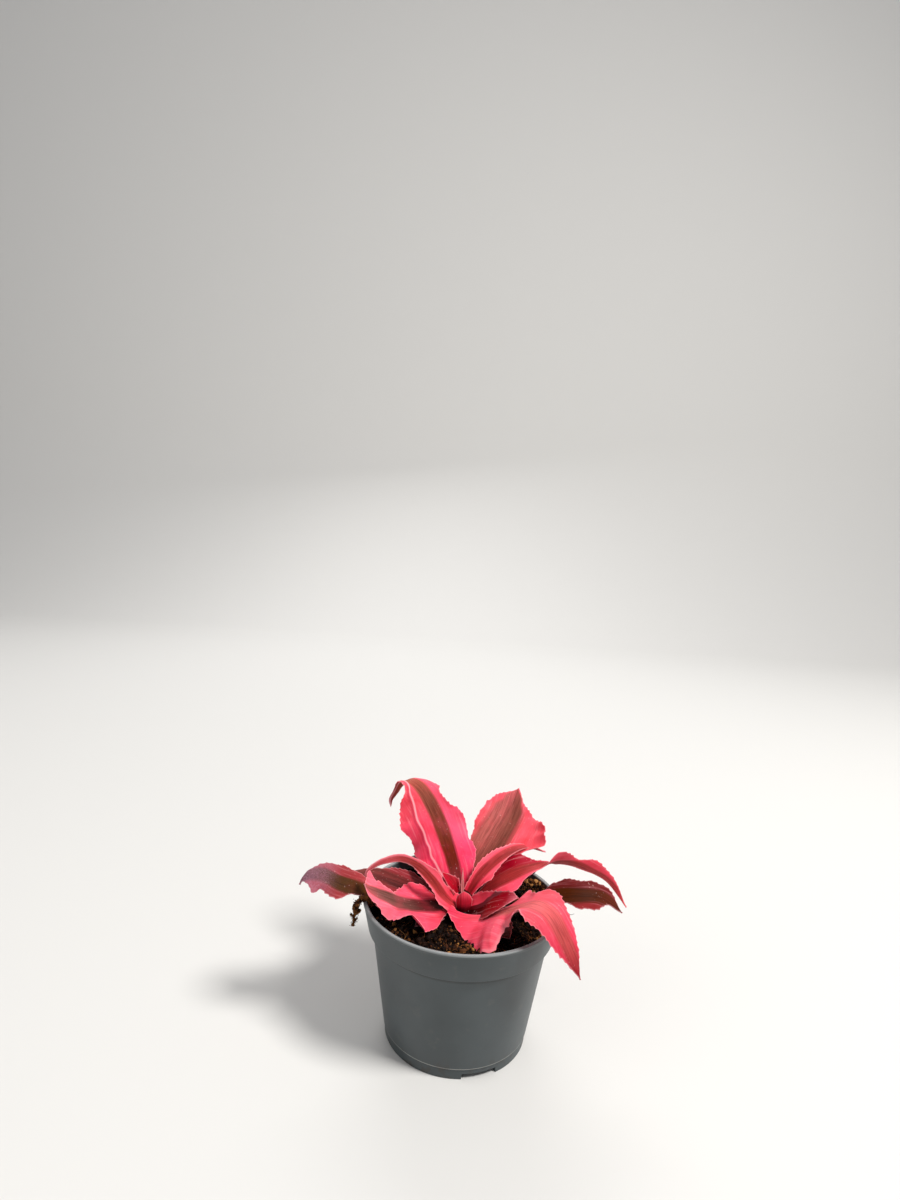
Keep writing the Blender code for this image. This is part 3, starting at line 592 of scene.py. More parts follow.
def makeLeaf(name, leaf, finish, seed):
    # the middle surface moved half a thickness up and down along its normal, joined by a thin rim
    rng = np.random.default_rng(seed)
    small = leaf["width"] < smallLeaf["width"]
    size = smallLeaf if small else leafMake
    stations = size["stations"]
    grid, place, along, length = bladeGrid(leaf, stations, size["halfStrips"], rng)
    columns = len(place)
    normal = unit(np.cross(np.gradient(grid, axis=0), np.gradient(grid, axis=1)))
    thinning = leafMake["marginThickness"] - leafMake["thickness"]
    half = 0.5 * (leafMake["thickness"] + thinning * place ** 2) * (smallLeaf["thickness"] if small else 1.0)
    upper = grid + normal * half[None, :, None]
    lower = grid - normal * half[None, :, None]
    points = np.vstack([upper.reshape(-1, 3), lower.reshape(-1, 3)])
    under = stations * columns
    top = gridFaces(stations, columns)
    bottom = gridFaces(stations, columns, start=under)[:, ::-1]
    rim = np.r_[np.arange(columns), np.arange(1, stations) * columns + columns - 1,
                (stations - 1) * columns + np.arange(columns - 2, -1, -1),
                np.arange(stations - 2, 0, -1) * columns]
    after = np.roll(rim, -1)
    side = np.stack([after, rim, under + rim, under + after], -1)
    faces = np.vstack([top[:, ::-1], bottom[:, ::-1], side[:, ::-1]])

    def across(key, usual):
        # the same value all over each row
        return eased(leaf.get(key, usual), along)[:, None] + np.zeros((1, columns))

    def both(field):
        # the same values on the upper and the under side
        return np.tile(field.ravel(), 2)

    def onSide(key, usual, of=1.0):
        # a half's own value at every point of the blade
        left, right = (of * ofHalf(leaf, key, side, along, usual) for side in "LR")
        return np.where(place > 0.0, left, right)

    # distances in millimetres: out from the midrib with left positive, in from the margin, and from
    # the crease, far away on a blade without one
    reach = onSide("lobe", 1.0, halfWidth(leaf, along)[:, None])
    away = place * reach
    margin = (1.0 - np.abs(place)) * reach / onSide("hem", 1.0)
    ridge = (place - across("crease", [9.0])) * ofHalf(leaf, "lobe", "L", along, 1.0)
    ridge = ridge * halfWidth(leaf, along)[:, None]
    band = (away - across("bandShift", [0.0])) / across("band", [2.2, 3.2, 3.2, 2.6, 1.4])
    edge, edgeL, brown, brownL = (
        toned(leaf.get(key, leaf[key.rstrip("L")]), along)[:, None]
        for key in ("edgeColour", "edgeColourL", "bandColour", "bandColourL"))
    edge = np.where(band[..., None] > 0.0, edgeL, edge)
    brown = brown + (brownL - brown) * smoothStep(band, -0.5, 0.4)[..., None]
    fields = {"band": both(band), "margin": both(margin), "ridge": both(ridge),
              "scurf": both(across("scurf", [0.0])),
              "bandTint": np.tile(brown.reshape(-1, 3), (2, 1)),
              "edgeTint": np.tile(edge.reshape(-1, 3), (2, 1)),
              "under": np.repeat([0.0, 1.0], under), "seed": np.full(2 * under, seed * 1.7)}
    # the blade's own coordinates in centimetres: across and along
    uv = np.stack([both(away) / 10.0, both(np.repeat(along[:, None] * length / 10.0, columns, 1))], -1)
    return addPiece(name.replace("leaf", "blade"), points, faces, finish, [name], uv, fields,
                    leafMake["crease"])


leafColours = dict(
    paleStreak=(1.0, 0.45, 0.48), darkStreak=(0.75, 0.45, 0.52), blush=(0.62, 0.018, 0.060),
    bandStreak=(0.45, 0.40, 0.38), creaseShade=(0.50, 0.30, 0.45), creaseHighlight=(0.98, 0.46, 0.50),
    margin=(0.94, 0.42, 0.45), scurf=(0.40, 0.18, 0.25), fleck=(0.80, 0.56, 0.50))


def leafLook():
    # a pink blade with streaks along it, a brown band, a painted highlight along the crease, a pale margin,
    # scurf and flecks
    colours = leafColours
    band, margin, ridge, under, seed, scurf = (
        attribute(key) for key in ("band", "margin", "ridge", "under", "seed", "scurf"))
    blade = Link.node("ShaderNodeUVMap", {"uv_map": "blade"}, {})
    u, v = part(blade, 0), part(blade, 1)
    streak = noise(vector(u * 9.0, v * 0.55, seed), 1.0, 4.0, 0.6)
    fine = noise(vector(u * 34.0, v * 0.8, seed), 1.0, 2.0, 0.5)
    cloud = noise(vector(u * 1.6, v * 1.1, seed + 4.0), 1.0, 2.0, 0.5)
    grain = noise(objectPlace(), 2600.0, 2.0, 0.6)
    speck = noise(objectPlace(), 900.0, 1.0, 0.5)
    pink = mixed(streak.between(0.50, 0.75) * 0.22, tint("edgeTint"), colours["paleStreak"], "SCREEN")
    pink = mixed(fine.between(0.52, 0.64) * 0.30, pink, colours["darkStreak"], "MULTIPLY")
    pink = mixed(cloud.between(0.55, 0.30) * 0.30, pink, colours["blush"], "MULTIPLY")
    brown = mixed(streak.between(0.44, 0.66) * 0.55, tint("bandTint"), colours["bandStreak"], "MULTIPLY")
    brown = mixed(fine.between(0.50, 0.64) * 0.50, brown, colours["bandStreak"], "MULTIPLY")
    brown = mixed(cloud.between(0.45, 0.75) * 0.12, brown, tint("edgeTint"))
    reach = abs(band) + (streak - 0.5) * 0.55 + (fine - 0.5) * 0.25
    colour = mixed(reach.between(1.35, 0.75), pink, brown)
    beside = ridge.between(0.4, 1.0) * ridge.between(2.4, 1.4)
    colour = mixed(beside * 0.45, colour, colours["creaseShade"], "MULTIPLY")
    # a pale line along the crease: a painted highlight on the fold's ridge
    colour = mixed(abs(ridge).between(0.8, 0.1) * 0.65, colour, colours["creaseHighlight"])
    pale = margin.between(0.45, 0.05) * (0.35 + 0.65 * fine)
    colour = mixed(pale * 0.5, colour, colours["margin"])
    dusty = (grain.between(0.42, 0.62) * 0.6 + 0.2) * (under * 0.12 + scurf).between(0.0, 1.0)
    colour = mixed(dusty, colour, colours["scurf"])
    flecks = speck.between(0.68, 0.76) * (0.15 + 0.85 * cloud.between(0.46, 0.62)) * (1.0 - under)
    colour = mixed(flecks * 0.25, colour, colours["fleck"])
    height = streak * 0.6 + fine * 0.3 + grain * 0.12
    return {"Base Color": colour, "Roughness": 0.44 + 0.14 * streak + 0.2 * dusty,
            "Normal": bump(height, 0.00035, 0.45)}


potMake = dict(
    height=63.1, rimRadius=45.0, lip=1.7, bandHeight=13.0, bandFoot=42.2, shoulder=40.2,
    wallFoot=33.0, foot=32.3, footHeight=4.8, floorLift=2.6, wall=1.1, pad=7.0,
    notchCount=3, notchFirst=289.0, notchWidth=15.5, notchHeight=2.4,
    notchSlant=0.006,        # radians over which a notch ends
    drainCount=6, drainFirst=31.6, drainRadius=3.0, drainCircle=22.0, drainSides=36, drainDepth=8.0,
    segments=300, crease=32.0)


def rounded(corners):
    # each corner (radius, height, fillet) becomes five points on a parabola that touches both sides
    points = []
    for k, (r, z, fillet) in enumerate(corners):
        here = np.array([r, z])
        if fillet <= 0.0 or k in (0, len(corners) - 1):
            points.append(here)
            continue
        back = np.array(corners[k - 1][:2]) - here
        ahead = np.array(corners[k + 1][:2]) - here
        back *= min(fillet / np.linalg.norm(back), 0.45)
        ahead *= min(fillet / np.linalg.norm(ahead), 0.45)
        for t in np.linspace(0.0, 1.0, 5):
            points.append(here + back * (1.0 - t) ** 2 + ahead * t ** 2)
    return np.array(points)


def makePot(finish):
    # a profile of outside, lip and inside turned round the axis; the foot ring lifts at its notches
    pot = potMake
    top, rim, foot, footTop = (pot[key] for key in ("height", "rimRadius", "foot", "footHeight"))
    wall, wallFoot, shoulder = (pot[key] for key in ("wall", "wallFoot", "shoulder"))
    floor, pad = pot["floorLift"], pot["pad"]
    bandZ = top - pot["bandHeight"]
    floorTop = floor + wall
    mouth = rim - pot["lip"]
    inner = foot - 1.3 * wall
    profile = rounded([
        (0.0, 0.0, 0), (pad, 0.0, 0.3), (pad + 0.4, floor, 0.4), (inner, floor, 0.4), (inner, 0.0, 0.25),
        (foot, 0.0, 0.3), (foot + 0.1, footTop - 0.25, 0.25), (wallFoot, footTop, 0.3),
        (shoulder, bandZ - 0.1, 0.35), (pot["bandFoot"] - 0.1, bandZ + 0.1, 0.5),
        (rim - 0.35, top - 1.4, 0.6), (rim, top - 0.9, 0.3), (rim - 0.1, top, 0.35), (mouth, top, 0.35),
        (mouth - 0.3, top - 1.2, 0.5), (shoulder - wall, bandZ, 0.8), (wallFoot - wall, footTop + 0.6, 1.0),
        (wallFoot - wall - 1.0, floorTop, 0.8), (0.0, floorTop, 0)])
    turns = wholeTurn(pot["segments"])
    half = 0.5 * pot["notchWidth"] / foot
    slant = half + pot["notchSlant"]
    notches = np.radians(pot["notchFirst"] + 360.0 / pot["notchCount"] * np.arange(pot["notchCount"]))
    extra = (notches[:, None] + np.array([-slant, -half, half, slant])).ravel()
    turns = np.unique(np.round(np.r_[turns, extra % (2.0 * math.pi)], 6))
    away = np.abs((turns[:, None] - notches + math.pi) % (2.0 * math.pi) - math.pi).min(axis=1)
    raised = pot["notchHeight"] * (1.0 - smoothStep(away, half, slant))
    ring = profile[1:-1]
    low = (ring[:, 0] > inner - 1.0) & (ring[:, 1] < pot["notchHeight"])
    z = np.repeat(ring[:, 1:2], len(turns), 1)
    z = np.where(low[:, None], np.maximum(z, raised[None, :]), z)
    points, faces = closedRound(ringPoints(ring[:, :1], z, turns), profile[0][1], profile[-1][1])
    shell = addPiece("pot_shell", points, faces, finish, ["nursery_pot"])
    cutters = []
    for number in range(pot["drainCount"]):
        turn = math.radians(pot["drainFirst"] + 360.0 * number / pot["drainCount"])
        bpy.ops.mesh.primitive_cylinder_add(
            vertices=pot["drainSides"], radius=pot["drainRadius"] * mm, depth=pot["drainDepth"] * mm,
            location=(pot["drainCircle"] * math.cos(turn) * mm, pot["drainCircle"] * math.sin(turn) * mm,
                      0.5 * floorTop * mm))
        cutters.append(bpy.context.object)
        drain = shell.modifiers.new(f"drain{number}", "BOOLEAN")
        drain.operation = "DIFFERENCE"
        drain.object = cutters[-1]
    settle(shell, pot["crease"])
    for cutter in cutters:
        bpy.data.objects.remove(cutter)
    return shell


def settle(piece, crease):
    # the piece's modifiers become its mesh
    bpy.context.view_layer.update()
    graph = bpy.context.evaluated_depsgraph_get()
    mesh = bpy.data.meshes.new_from_object(piece.evaluated_get(graph), depsgraph=graph)
    piece.modifiers.clear()
    old = piece.data
    piece.data = mesh
    bpy.data.meshes.remove(old)
    mesh.shade_smooth()
    mesh.set_sharp_from_angle(angle=math.radians(crease))


# lip and ledge are pale colours for painted highlights, shade is a dark colour for painted shade under the
# band
potColours = dict(
    dark=(0.046, 0.057, 0.061), light=(0.061, 0.075, 0.080), dust=(0.15, 0.14, 0.12), lip=(0.28, 0.29, 0.29),
    ledge=(0.46, 0.46, 0.43), shade=(0.016, 0.018, 0.018), dirt=(0.045, 0.030, 0.020))


def potLook():
    # grey plastic in faint clouds: a painted highlight on the lip, a painted highlight along the edge over
    # the foot, patchy with dust, and painted shade under the band
    colours = potColours
    place = objectPlace()
    height = part(place, 2)
    rim, foot = potMake["height"] * mm, potMake["footHeight"] * mm
    bandZ = rim - potMake["bandHeight"] * mm
    cloud = noise(place, 38.0, 3.0, 0.5)
    dust = noise(place, 140.0, 4.0, 0.6)
    grain = noise(place, 3200.0, 2.0, 0.5)
    colour = mixed(cloud.between(0.35, 0.7), colours["dark"], colours["light"])
    colour = mixed(dust.between(0.58, 0.75) * 0.20, colour, colours["dust"])
    # a painted highlight along the lip's rounded top
    colour = mixed(height.between(rim - 0.9 * mm, rim - 0.3 * mm) * 0.60, colour, colours["lip"])
    # a painted highlight along the ledge over the foot, made patchy by dust
    ledge = height.between(foot - 0.3 * mm, foot) * height.between(foot + 0.6 * mm, foot + 0.2 * mm)
    colour = mixed(ledge * (0.35 + 0.6 * dust), colour, colours["ledge"])
    shade = height.between(bandZ - 2.7 * mm, bandZ - 1.5 * mm)
    shade = shade * height.between(bandZ + 0.1 * mm, bandZ - 0.2 * mm)
    colour = mixed(shade * 0.55, colour, colours["shade"])
    soiled = height.between(12.0 * mm, 0.0) * noise(place, 260.0, 3.0, 0.6).between(0.5, 0.66)
    colour = mixed(soiled * 0.55, colour, colours["dirt"])
    return {"Base Color": colour, "Roughness": 0.33 + 0.14 * cloud + 0.1 * dust,
            "Normal": bump(grain * 0.6 + dust * 0.4, 0.00006, 0.5)}


soilMake = dict(
    level=57.0, rings=130, turns=460,
    swells=[(0.9, 13.0, 11), (0.8, 4.6, 12)],      # height, size and seed of the uneven parts
    crumbs=[(0.6, 1.7, 13), (0.42, 0.8, 14)],      # and of the finer ones
    flat=9.0, uneven=17.0,   # no swells out to the first distance from the axis, all of them from the second
    lowest=-1.6, highest=1.5,
    gap=0.35,                # between the soil and the pot's wall
    shoulder=50.0,           # height up to which the wall of soil is plain
    heaps=[(38, 19, 12, 4.6), (4, -37, 8, 1.2)])   # x, y, size, height


def soilHeight(x, y):
    # noise of four sizes, the two largest kept off the middle, and a bell-shaped heap or two
    soil = soilMake
    swells, crumbs = (sum(high * lattice(x, y, size, seed) for high, size, seed in soil[key])
                      for key in ("swells", "crumbs"))
    rise = swells * smoothStep(np.hypot(x, y), soil["flat"], soil["uneven"]) + crumbs
    heap = sum(high * np.exp(-((x - a) ** 2 + (y - b) ** 2) / size ** 2)
               for a, b, size, high in soil["heaps"])
    return soil["level"] + np.clip(rise, soil["lowest"], soil["highest"]) + heap


def wallInside(z):
    # the pot's inner radius at a height, straight between the foot, the band and the mouth
    pot = potMake
    heights = [pot["footHeight"] + 0.6, pot["height"] - pot["bandHeight"], pot["height"] - 1.2]
    mouth = pot["rimRadius"] - pot["lip"] - 0.3
    return np.interp(z, heights, [pot["wallFoot"] - pot["wall"], pot["shoulder"] - pot["wall"], mouth])


def soilEdge(turn):
    # how far the soil reaches in a direction: to the wall at the soil's height there
    r = wallInside(soilMake["level"])
    return wallInside(soilHeight(r * np.cos(turn), r * np.sin(turn)))


def makeSoil(finish):
    # rings up the inside of the wall, then in over the top, where each point is at the soil's height
    soil = soilMake
    turns = wholeTurn(soil["turns"])
    radii = (soilEdge(turns) - soil["gap"]) * np.linspace(1.0, 0.0, soil["rings"] + 1)[:-1, None] ** 0.8
    top = ringPoints(radii, soilHeight(radii * np.cos(turns), radii * np.sin(turns)), turns)
    floor = potMake["floorLift"] + potMake["wall"] + 0.3
    foot = potMake["footHeight"] + 1.2
    low = np.array([(wallInside(floor) - 1.6, floor), (wallInside(foot) - soil["gap"], foot),
                    (wallInside(soil["shoulder"]) - soil["gap"], soil["shoulder"])])
    rings = np.concatenate([ringPoints(low[:, :1], low[:, 1:], turns), top])
    points, faces = closedRound(rings, floor, soilHeight(0.0, 0.0))
    return addPiece("soil_bed", points, faces, finish, ["potting_soil"])


soilColours = dict(dark=(0.0022, 0.0009, 0.0007), light=(0.010, 0.0035, 0.0018), fleck=(0.060, 0.022, 0.008))


def soilLook():
    # nearly black clods with small brown flecks
    place = objectPlace()
    clod = noise(place, 420.0, 4.0, 0.65)
    fleck = noise(place, 1500.0, 3.0, 0.6)
    colour = mixed(clod.between(0.4, 0.68), soilColours["dark"], soilColours["light"])
    colour = mixed(fleck.between(0.62, 0.74) * 0.6, colour, soilColours["fleck"])
    return {"Base Color": colour, "Roughness": 0.72 + 0.2 * clod,
            "Normal": bump(clod + fleck * 0.5, 0.0006, 0.8)}


crumbMake = dict(
    kinds=[("soil_crumbs", 2300, 0.4, 1.5), ("soil_grains", 9000, 0.22, 0.75)],   # number, smallest, largest
    seed=21, flatness=0.4,
    small=2.2,               # the higher, the fewer large ones
    lift=0.25,               # share of its size by which each is raised
    darkTones=(0.0, 0.4), brownTones=(0.45, 1.0),
    brownShare=0.07, patchShare=0.65,
    brownPatches=[(-3, -38, 8), (11, -38, 6), (33, -20, 7), (37, 19, 11), (-31, -22, 4)])   # x, y, size
fibreMake = dict(
    seed=22, count=420, shortest=1.5, longest=8.0, curl=0.9, stations=9, sides=5,
    radius=0.13, radii=(0.5, 1.3),      # and the thinnest and thickest, as shares of it
    deepest=0.1, highest=1.5,           # below and above the soil
    clear=4.0, gap=0.6,                 # from the pot's wall, at a fibre's start and along it
    tones=(0.35, 1.0))


def lumpShape():
    # a cube's six sides, each a grid of 3 by 3 points, merged and blown out to a ball
    u, v = np.meshgrid([-1, 0, 1], [-1, 0, 1], indexing="ij")
    sheets, faces = [], []
    for axis in range(3):
        for side, order in ((-1, [1, 2, 3, 0]), (1, [0, 3, 2, 1])):
            faces.append(gridFaces(3, 3, start=9 * len(sheets))[:, order])
            sheets.append(np.roll(np.stack([np.full_like(u, side), u, v], -1), axis, -1).reshape(-1, 3))
    points, index = np.unique(np.vstack(sheets), axis=0, return_inverse=True)
    return unit(points.astype(float)), index.ravel()[np.vstack(faces)]


def grainShape():
    # a ball of eight points and six quads
    corners = np.array([(x, y, z) for x in (-1, 1) for y in (-1, 1) for z in (-1, 1)], float)
    quads = [(0, 1, 3, 2), (4, 6, 7, 5), (0, 4, 5, 1), (2, 3, 7, 6), (0, 2, 6, 4), (1, 5, 7, 3)]
    return unit(corners), np.array(quads)


def turnsAbout(count, rng):
    # random turns as matrices, from random unit quaternions
    w, x, y, z = unit(rng.normal(size=(count, 4))).T
    return np.stack([
        np.stack([1 - 2 * (y * y + z * z), 2 * (x * y - w * z), 2 * (x * z + w * y)], -1),
        np.stack([2 * (x * y + w * z), 1 - 2 * (x * x + z * z), 2 * (y * z - w * x)], -1),
        np.stack([2 * (x * z - w * y), 2 * (y * z + w * x), 1 - 2 * (x * x + y * y)], -1)], 1)


def lumps(places, sizes, rng, shape, flatness=0.55):
    # each lump is the ball shape pulled to its own three widths, dented at random and turned
    ball, quads = shape
    count = len(places)
    widths = sizes[:, None] * rng.uniform(flatness, 1.15, (count, 3))
    dents = rng.uniform(0.6, 1.3, (count, len(ball), 1))
    made = ball[None] * dents * widths[:, None, :]
    made = np.einsum("nij,nkj->nki", turnsAbout(count, rng), made) + places[:, None, :]
    faces = (quads[None] + (np.arange(count) * len(ball))[:, None, None]).reshape(-1, 4)
    return made.reshape(-1, 3), faces, len(ball)


def onSoil(count, rng, inner=6.0, clear=1.2):
    # random places on the soil, evenly over its area
    turn = rng.uniform(0.0, 2.0 * math.pi, count)
    r = np.sqrt(rng.uniform(inner ** 2, (soilEdge(turn) - clear) ** 2))
    x, y = r * np.cos(turn), r * np.sin(turn)
    return np.stack([x, y, soilHeight(x, y)], -1)


def tubes(paths, radii, sides):
    # a ring of points round every station of every path, square to the path, closed at both ends
    count, n = paths.shape[:2]
    tangent = unit(np.gradient(paths, axis=1))
    steep = np.abs(tangent[..., 2:]) > 0.9
    helper = np.where(steep, np.array([1.0, 0.0, 0.0]), np.array([0.0, 0.0, 1.0]))
    first = unit(np.cross(tangent, helper))
    second = np.cross(tangent, first)
    turn = wholeTurn(sides)[:, None]
    ring = first[:, :, None] * np.cos(turn) + second[:, :, None] * np.sin(turn)
    points = paths[:, :, None] + ring * radii[:, :, None, None]
    points = np.concatenate([points.reshape(count, n * sides, 3), paths[:, :1], paths[:, -1:]], axis=1)
    j = np.arange(sides)
    k = (j + 1) % sides
    pole, end = n * sides, (n - 1) * sides
    caps = np.concatenate([np.stack([np.full_like(j, pole), k, j], -1),
                           np.stack([np.full_like(j, pole + 1), end + j, end + k], -1)])
    per = pole + 2
    starts = per * np.arange(count)[:, None, None]
    faces = (gridFaces(n, sides, wrapped=True) + starts).reshape(-1, 4).tolist()
    faces += (caps + starts).reshape(-1, 3).tolist()
    return points.reshape(-1, 3), faces, per


def wander(start, heading, length, curl, rng, stations):
    # paths that start at a place and change their heading a little at every step
    count = len(start)
    heading = unit(heading)
    path = [start]
    turning = rng.normal(size=(count, 3)) * curl
    for step in range(stations - 1):
        heading = unit(heading + turning / stations + rng.normal(size=(count, 3)) * curl * 0.25)
        path.append(path[-1] + heading * (length / (stations - 1))[:, None])
    return np.stack(path, axis=1)


def makeCrumbs(finish):
    # coarse crumbs as dented balls, and a far larger number of small grains as dented cubes
    rng = np.random.default_rng(crumbMake["seed"])
    for (name, count, smallest, largest), shape in zip(crumbMake["kinds"], (lumpShape(), grainShape())):
        places = onSoil(count, rng)
        sizes = smallest + (largest - smallest) * rng.random(count) ** crumbMake["small"]
        places[:, 2] += crumbMake["lift"] * sizes
        points, faces, per = lumps(places, sizes, rng, shape, crumbMake["flatness"])
        share = np.full(count, crumbMake["brownShare"])
        for x, y, size in crumbMake["brownPatches"]:
            away = np.hypot(places[:, 0] - x, places[:, 1] - y) / size
            share += crumbMake["patchShare"] * np.exp(-away ** 2)
        brown = share > rng.random(count)
        tone = np.where(brown, rng.uniform(*crumbMake["brownTones"], count),
                        rng.uniform(*crumbMake["darkTones"], count))
        addPiece(name, points, faces, finish, fields={"tone": np.repeat(tone, per)})


def makeFibres(finish):
    # short curling threads, kept within a millimetre or so of the soil and inside the pot
    fibre = fibreMake
    rng = np.random.default_rng(fibre["seed"])
    start = onSoil(fibre["count"], rng, clear=fibre["clear"])
    heading = np.stack([rng.normal(size=fibre["count"]), rng.normal(size=fibre["count"]),
                        rng.uniform(-0.1, 0.5, fibre["count"])], -1)
    length = rng.uniform(fibre["shortest"], fibre["longest"], fibre["count"])
    paths = wander(start, heading, length, fibre["curl"], rng, fibre["stations"])
    ground = soilHeight(paths[..., 0], paths[..., 1])
    paths[..., 2] = np.clip(paths[..., 2], ground - fibre["deepest"], ground + fibre["highest"])
    reach = np.hypot(paths[..., 0], paths[..., 1])
    limit = wallInside(soilMake["level"]) - fibre["gap"]
    paths[..., :2] *= np.minimum(1.0, limit / reach)[..., None]
    taper = np.linspace(1.0, 0.5, fibre["stations"])
    radii = fibre["radius"] * rng.uniform(*fibre["radii"], (fibre["count"], 1)) * taper
    points, faces, per = tubes(paths, radii, fibre["sides"])
    tone = rng.uniform(*fibre["tones"], fibre["count"])
    return addPiece("soil_fibres", points, faces, finish, fields={"tone": np.repeat(tone, per)})


crumbColours = [
    (0.0, (0.0036, 0.0016, 0.0011)), (0.35, (0.012, 0.0044, 0.0024)), (0.6, (0.068, 0.020, 0.006)),
    (0.85, (0.17, 0.062, 0.016)), (1.0, (0.38, 0.18, 0.055))]   # from the darkest tone to the lightest


def crumbLook():
    # each crumb or thread takes its own tone from the colours above
    fleck = noise(objectPlace(), 1800.0, 3.0, 0.6)
    colour = Link.node("ShaderNodeValToRGB", {"stops": crumbColours},
                       {"Fac": attribute("tone") + (fleck - 0.5) * 0.3})
    return {"Base Color": colour, "Roughness": 0.62 + 0.25 * fleck, "Normal": bump(fleck, 0.0003, 0.8)}


stemMake = dict(
    foot=57.3, top=63.0, footRadius=7.5, topRadius=3.0, hollow=1.5, knobs=0.05, rings=14, segments=48)
stemColours = dict(dark=(0.030, 0.002, 0.003), light=(0.090, 0.006, 0.008))


def makeStem(finish):
    # a radius that falls as t to the power of hollow, t from 0 at the foot to 1 at the top, times one
    # plus knobs times the product of two sine waves, round the stem and up it
    stem = stemMake
    t = np.linspace(0.0, 1.0, stem["rings"])[:, None]
    turns = wholeTurn(stem["segments"])
    radius = stem["footRadius"] + (stem["topRadius"] - stem["footRadius"]) * t ** stem["hollow"]
    rings = ringPoints(radius, stem["foot"] + (stem["top"] - stem["foot"]) * t, turns)
    points, faces = closedRound(rings, stem["foot"], stem["top"])
    turn = np.arctan2(points[:, 1], points[:, 0])
    scale = 1.0 + stem["knobs"] * np.sin(5.0 * turn + points[:, 2]) * np.sin(points[:, 2] * 2.4)
    points[:, :2] *= scale[:, None]
    return addPiece("stem_stump", points, faces, finish, ["short_stem"])


def stemLook():
    # dark crimson in small clouds
    cloud = noise(objectPlace(), 500.0, 3.0, 0.6)
    colour = mixed(cloud.between(0.3, 0.7), stemColours["dark"], stemColours["light"])
    return {"Base Color": colour, "Roughness": 0.5 + 0.2 * cloud, "Normal": bump(cloud, 0.0003, 0.5)}


rootMake = dict(
    # each run: its route, thickness at both ends, strands, hairs and crumbs
    runs=[([(-40.3, -8.2, 61.2), (-41.9, -8.6, 64.0), (-43.9, -8.7, 64.4), (-45.9, -8.3, 62.8),
            (-47.3, -8.0, 60.9), (-47.7, -7.8, 58.9), (-46.9, -7.8, 57.3), (-46.0, -7.8, 58.1)],
           0.9, 0.75, 5, 130, 330),
          ([(-47.3, -7.8, 57.5), (-47.9, -7.8, 55.8), (-48.1, -7.8, 54.1), (-48.2, -7.8, 52.5),
            (-48.6, -7.8, 50.8)], 0.22, 0.3, 2, 50, 70),
          ([(-48.0, -7.8, 54.6), (-48.7, -7.8, 55.2), (-49.4, -7.7, 56.2)], 0.3, 0.2, 1, 14, 16),
          ([(-48.2, -7.8, 52.8), (-47.3, -7.8, 53.6), (-46.5, -7.8, 54.7)], 0.28, 0.2, 1, 14, 16)],
    seed=23, stations=60, twist=1.6, strandSides=8,
    strandRadius=0.6, strandAway=0.8, hairSpread=0.4, bitSpread=0.75,   # shares of the run's thickness
    hairLength=(0.8, 2.2), hairRadius=0.08, hairCurl=2.2, hairStations=7, hairSides=4, bitSize=(0.2, 0.6),
    strandTones=(0.5, 1.0), hairTones=(0.35, 1.0), bitTones=(0.25, 1.0))


def makeRoot(finish):
    # strands wound round each other along each run, with hairs and crumbs held among them
    root = rootMake
    rng = np.random.default_rng(root["seed"])
    points, faces, tone = np.zeros((0, 3)), [], np.zeros(0)

    def add(piece, tones, many):
        # more points, faces and tones behind those that are there
        nonlocal points, tone
        morePoints, moreFaces, per = piece
        faces.extend([corner + len(points) for corner in face] for face in moreFaces)
        points = np.vstack([points, morePoints])
        tone = np.r_[tone, rng.uniform(*root[tones], many).repeat(per)]

    count = root["stations"]
    along = np.linspace(0.0, 1.0, count)
    for route, first, last, strands, hairs, bits in root["runs"]:
        core = smoothRoute(route, count)[0]
        tangent = unit(np.gradient(core, axis=0))
        side = unit(np.cross(tangent, np.array([0.0, 1.0, 0.0])))
        ahead = np.cross(tangent, side)
        thickness = first + (last - first) * along
        paths, radii = [], []
        for number in range(strands):
            turn = 2.0 * math.pi * (root["twist"] * along + number / strands)
            away = root["strandAway"] * thickness * (1.0 + 0.35 * np.sin(9.0 * along + number))
            away = away * (strands > 1)
            sideways, outwards = (away * share(turn) for share in (np.cos, np.sin))
            paths.append(core + sideways[:, None] * side + outwards[:, None] * ahead)
            radii.append(root["strandRadius"] * thickness * (1.0 + 0.3 * np.sin(31.0 * along + 2.0 * number)))
        add(tubes(np.array(paths), np.array(radii), root["strandSides"]), "strandTones", strands)
        pick = rng.integers(2, count, hairs)
        start = core[pick] + rng.normal(size=(hairs, 3)) * root["hairSpread"] * thickness[pick, None]
        hair = wander(start, rng.normal(size=(hairs, 3)), rng.uniform(*root["hairLength"], hairs),
                      root["hairCurl"], rng, root["hairStations"])
        radii = np.full((hairs, root["hairStations"]), root["hairRadius"])
        add(tubes(hair, radii, root["hairSides"]), "hairTones", hairs)
        pick = rng.integers(0, count, bits)
        places = core[pick] + rng.normal(size=(bits, 3)) * root["bitSpread"] * thickness[pick, None]
        add(lumps(places, rng.uniform(*root["bitSize"], bits), rng, lumpShape()), "bitTones", bits)
    return addPiece("root_strand", points, faces, finish, ["dry_root"], fields={"tone": tone})


trimMake = dict(
    # each piece: its route and the radius at both ends
    pieces=dict(
        twig=([(33.0, 24.0, 60.5), (35.5, 25.5, 63.2), (38.2, 27.2, 64.6), (40.6, 28.0, 66.2)], 0.28, 0.12),
        hair=([(44.5, -1.0, 62.6), (46.2, -2.0, 62.4), (47.6, -3.0, 60.6), (49.4, -3.2, 59.2),
               (51.0, -3.0, 59.6)], 0.16, 0.07)),
    stations=24, sides=6, tone=0.2)


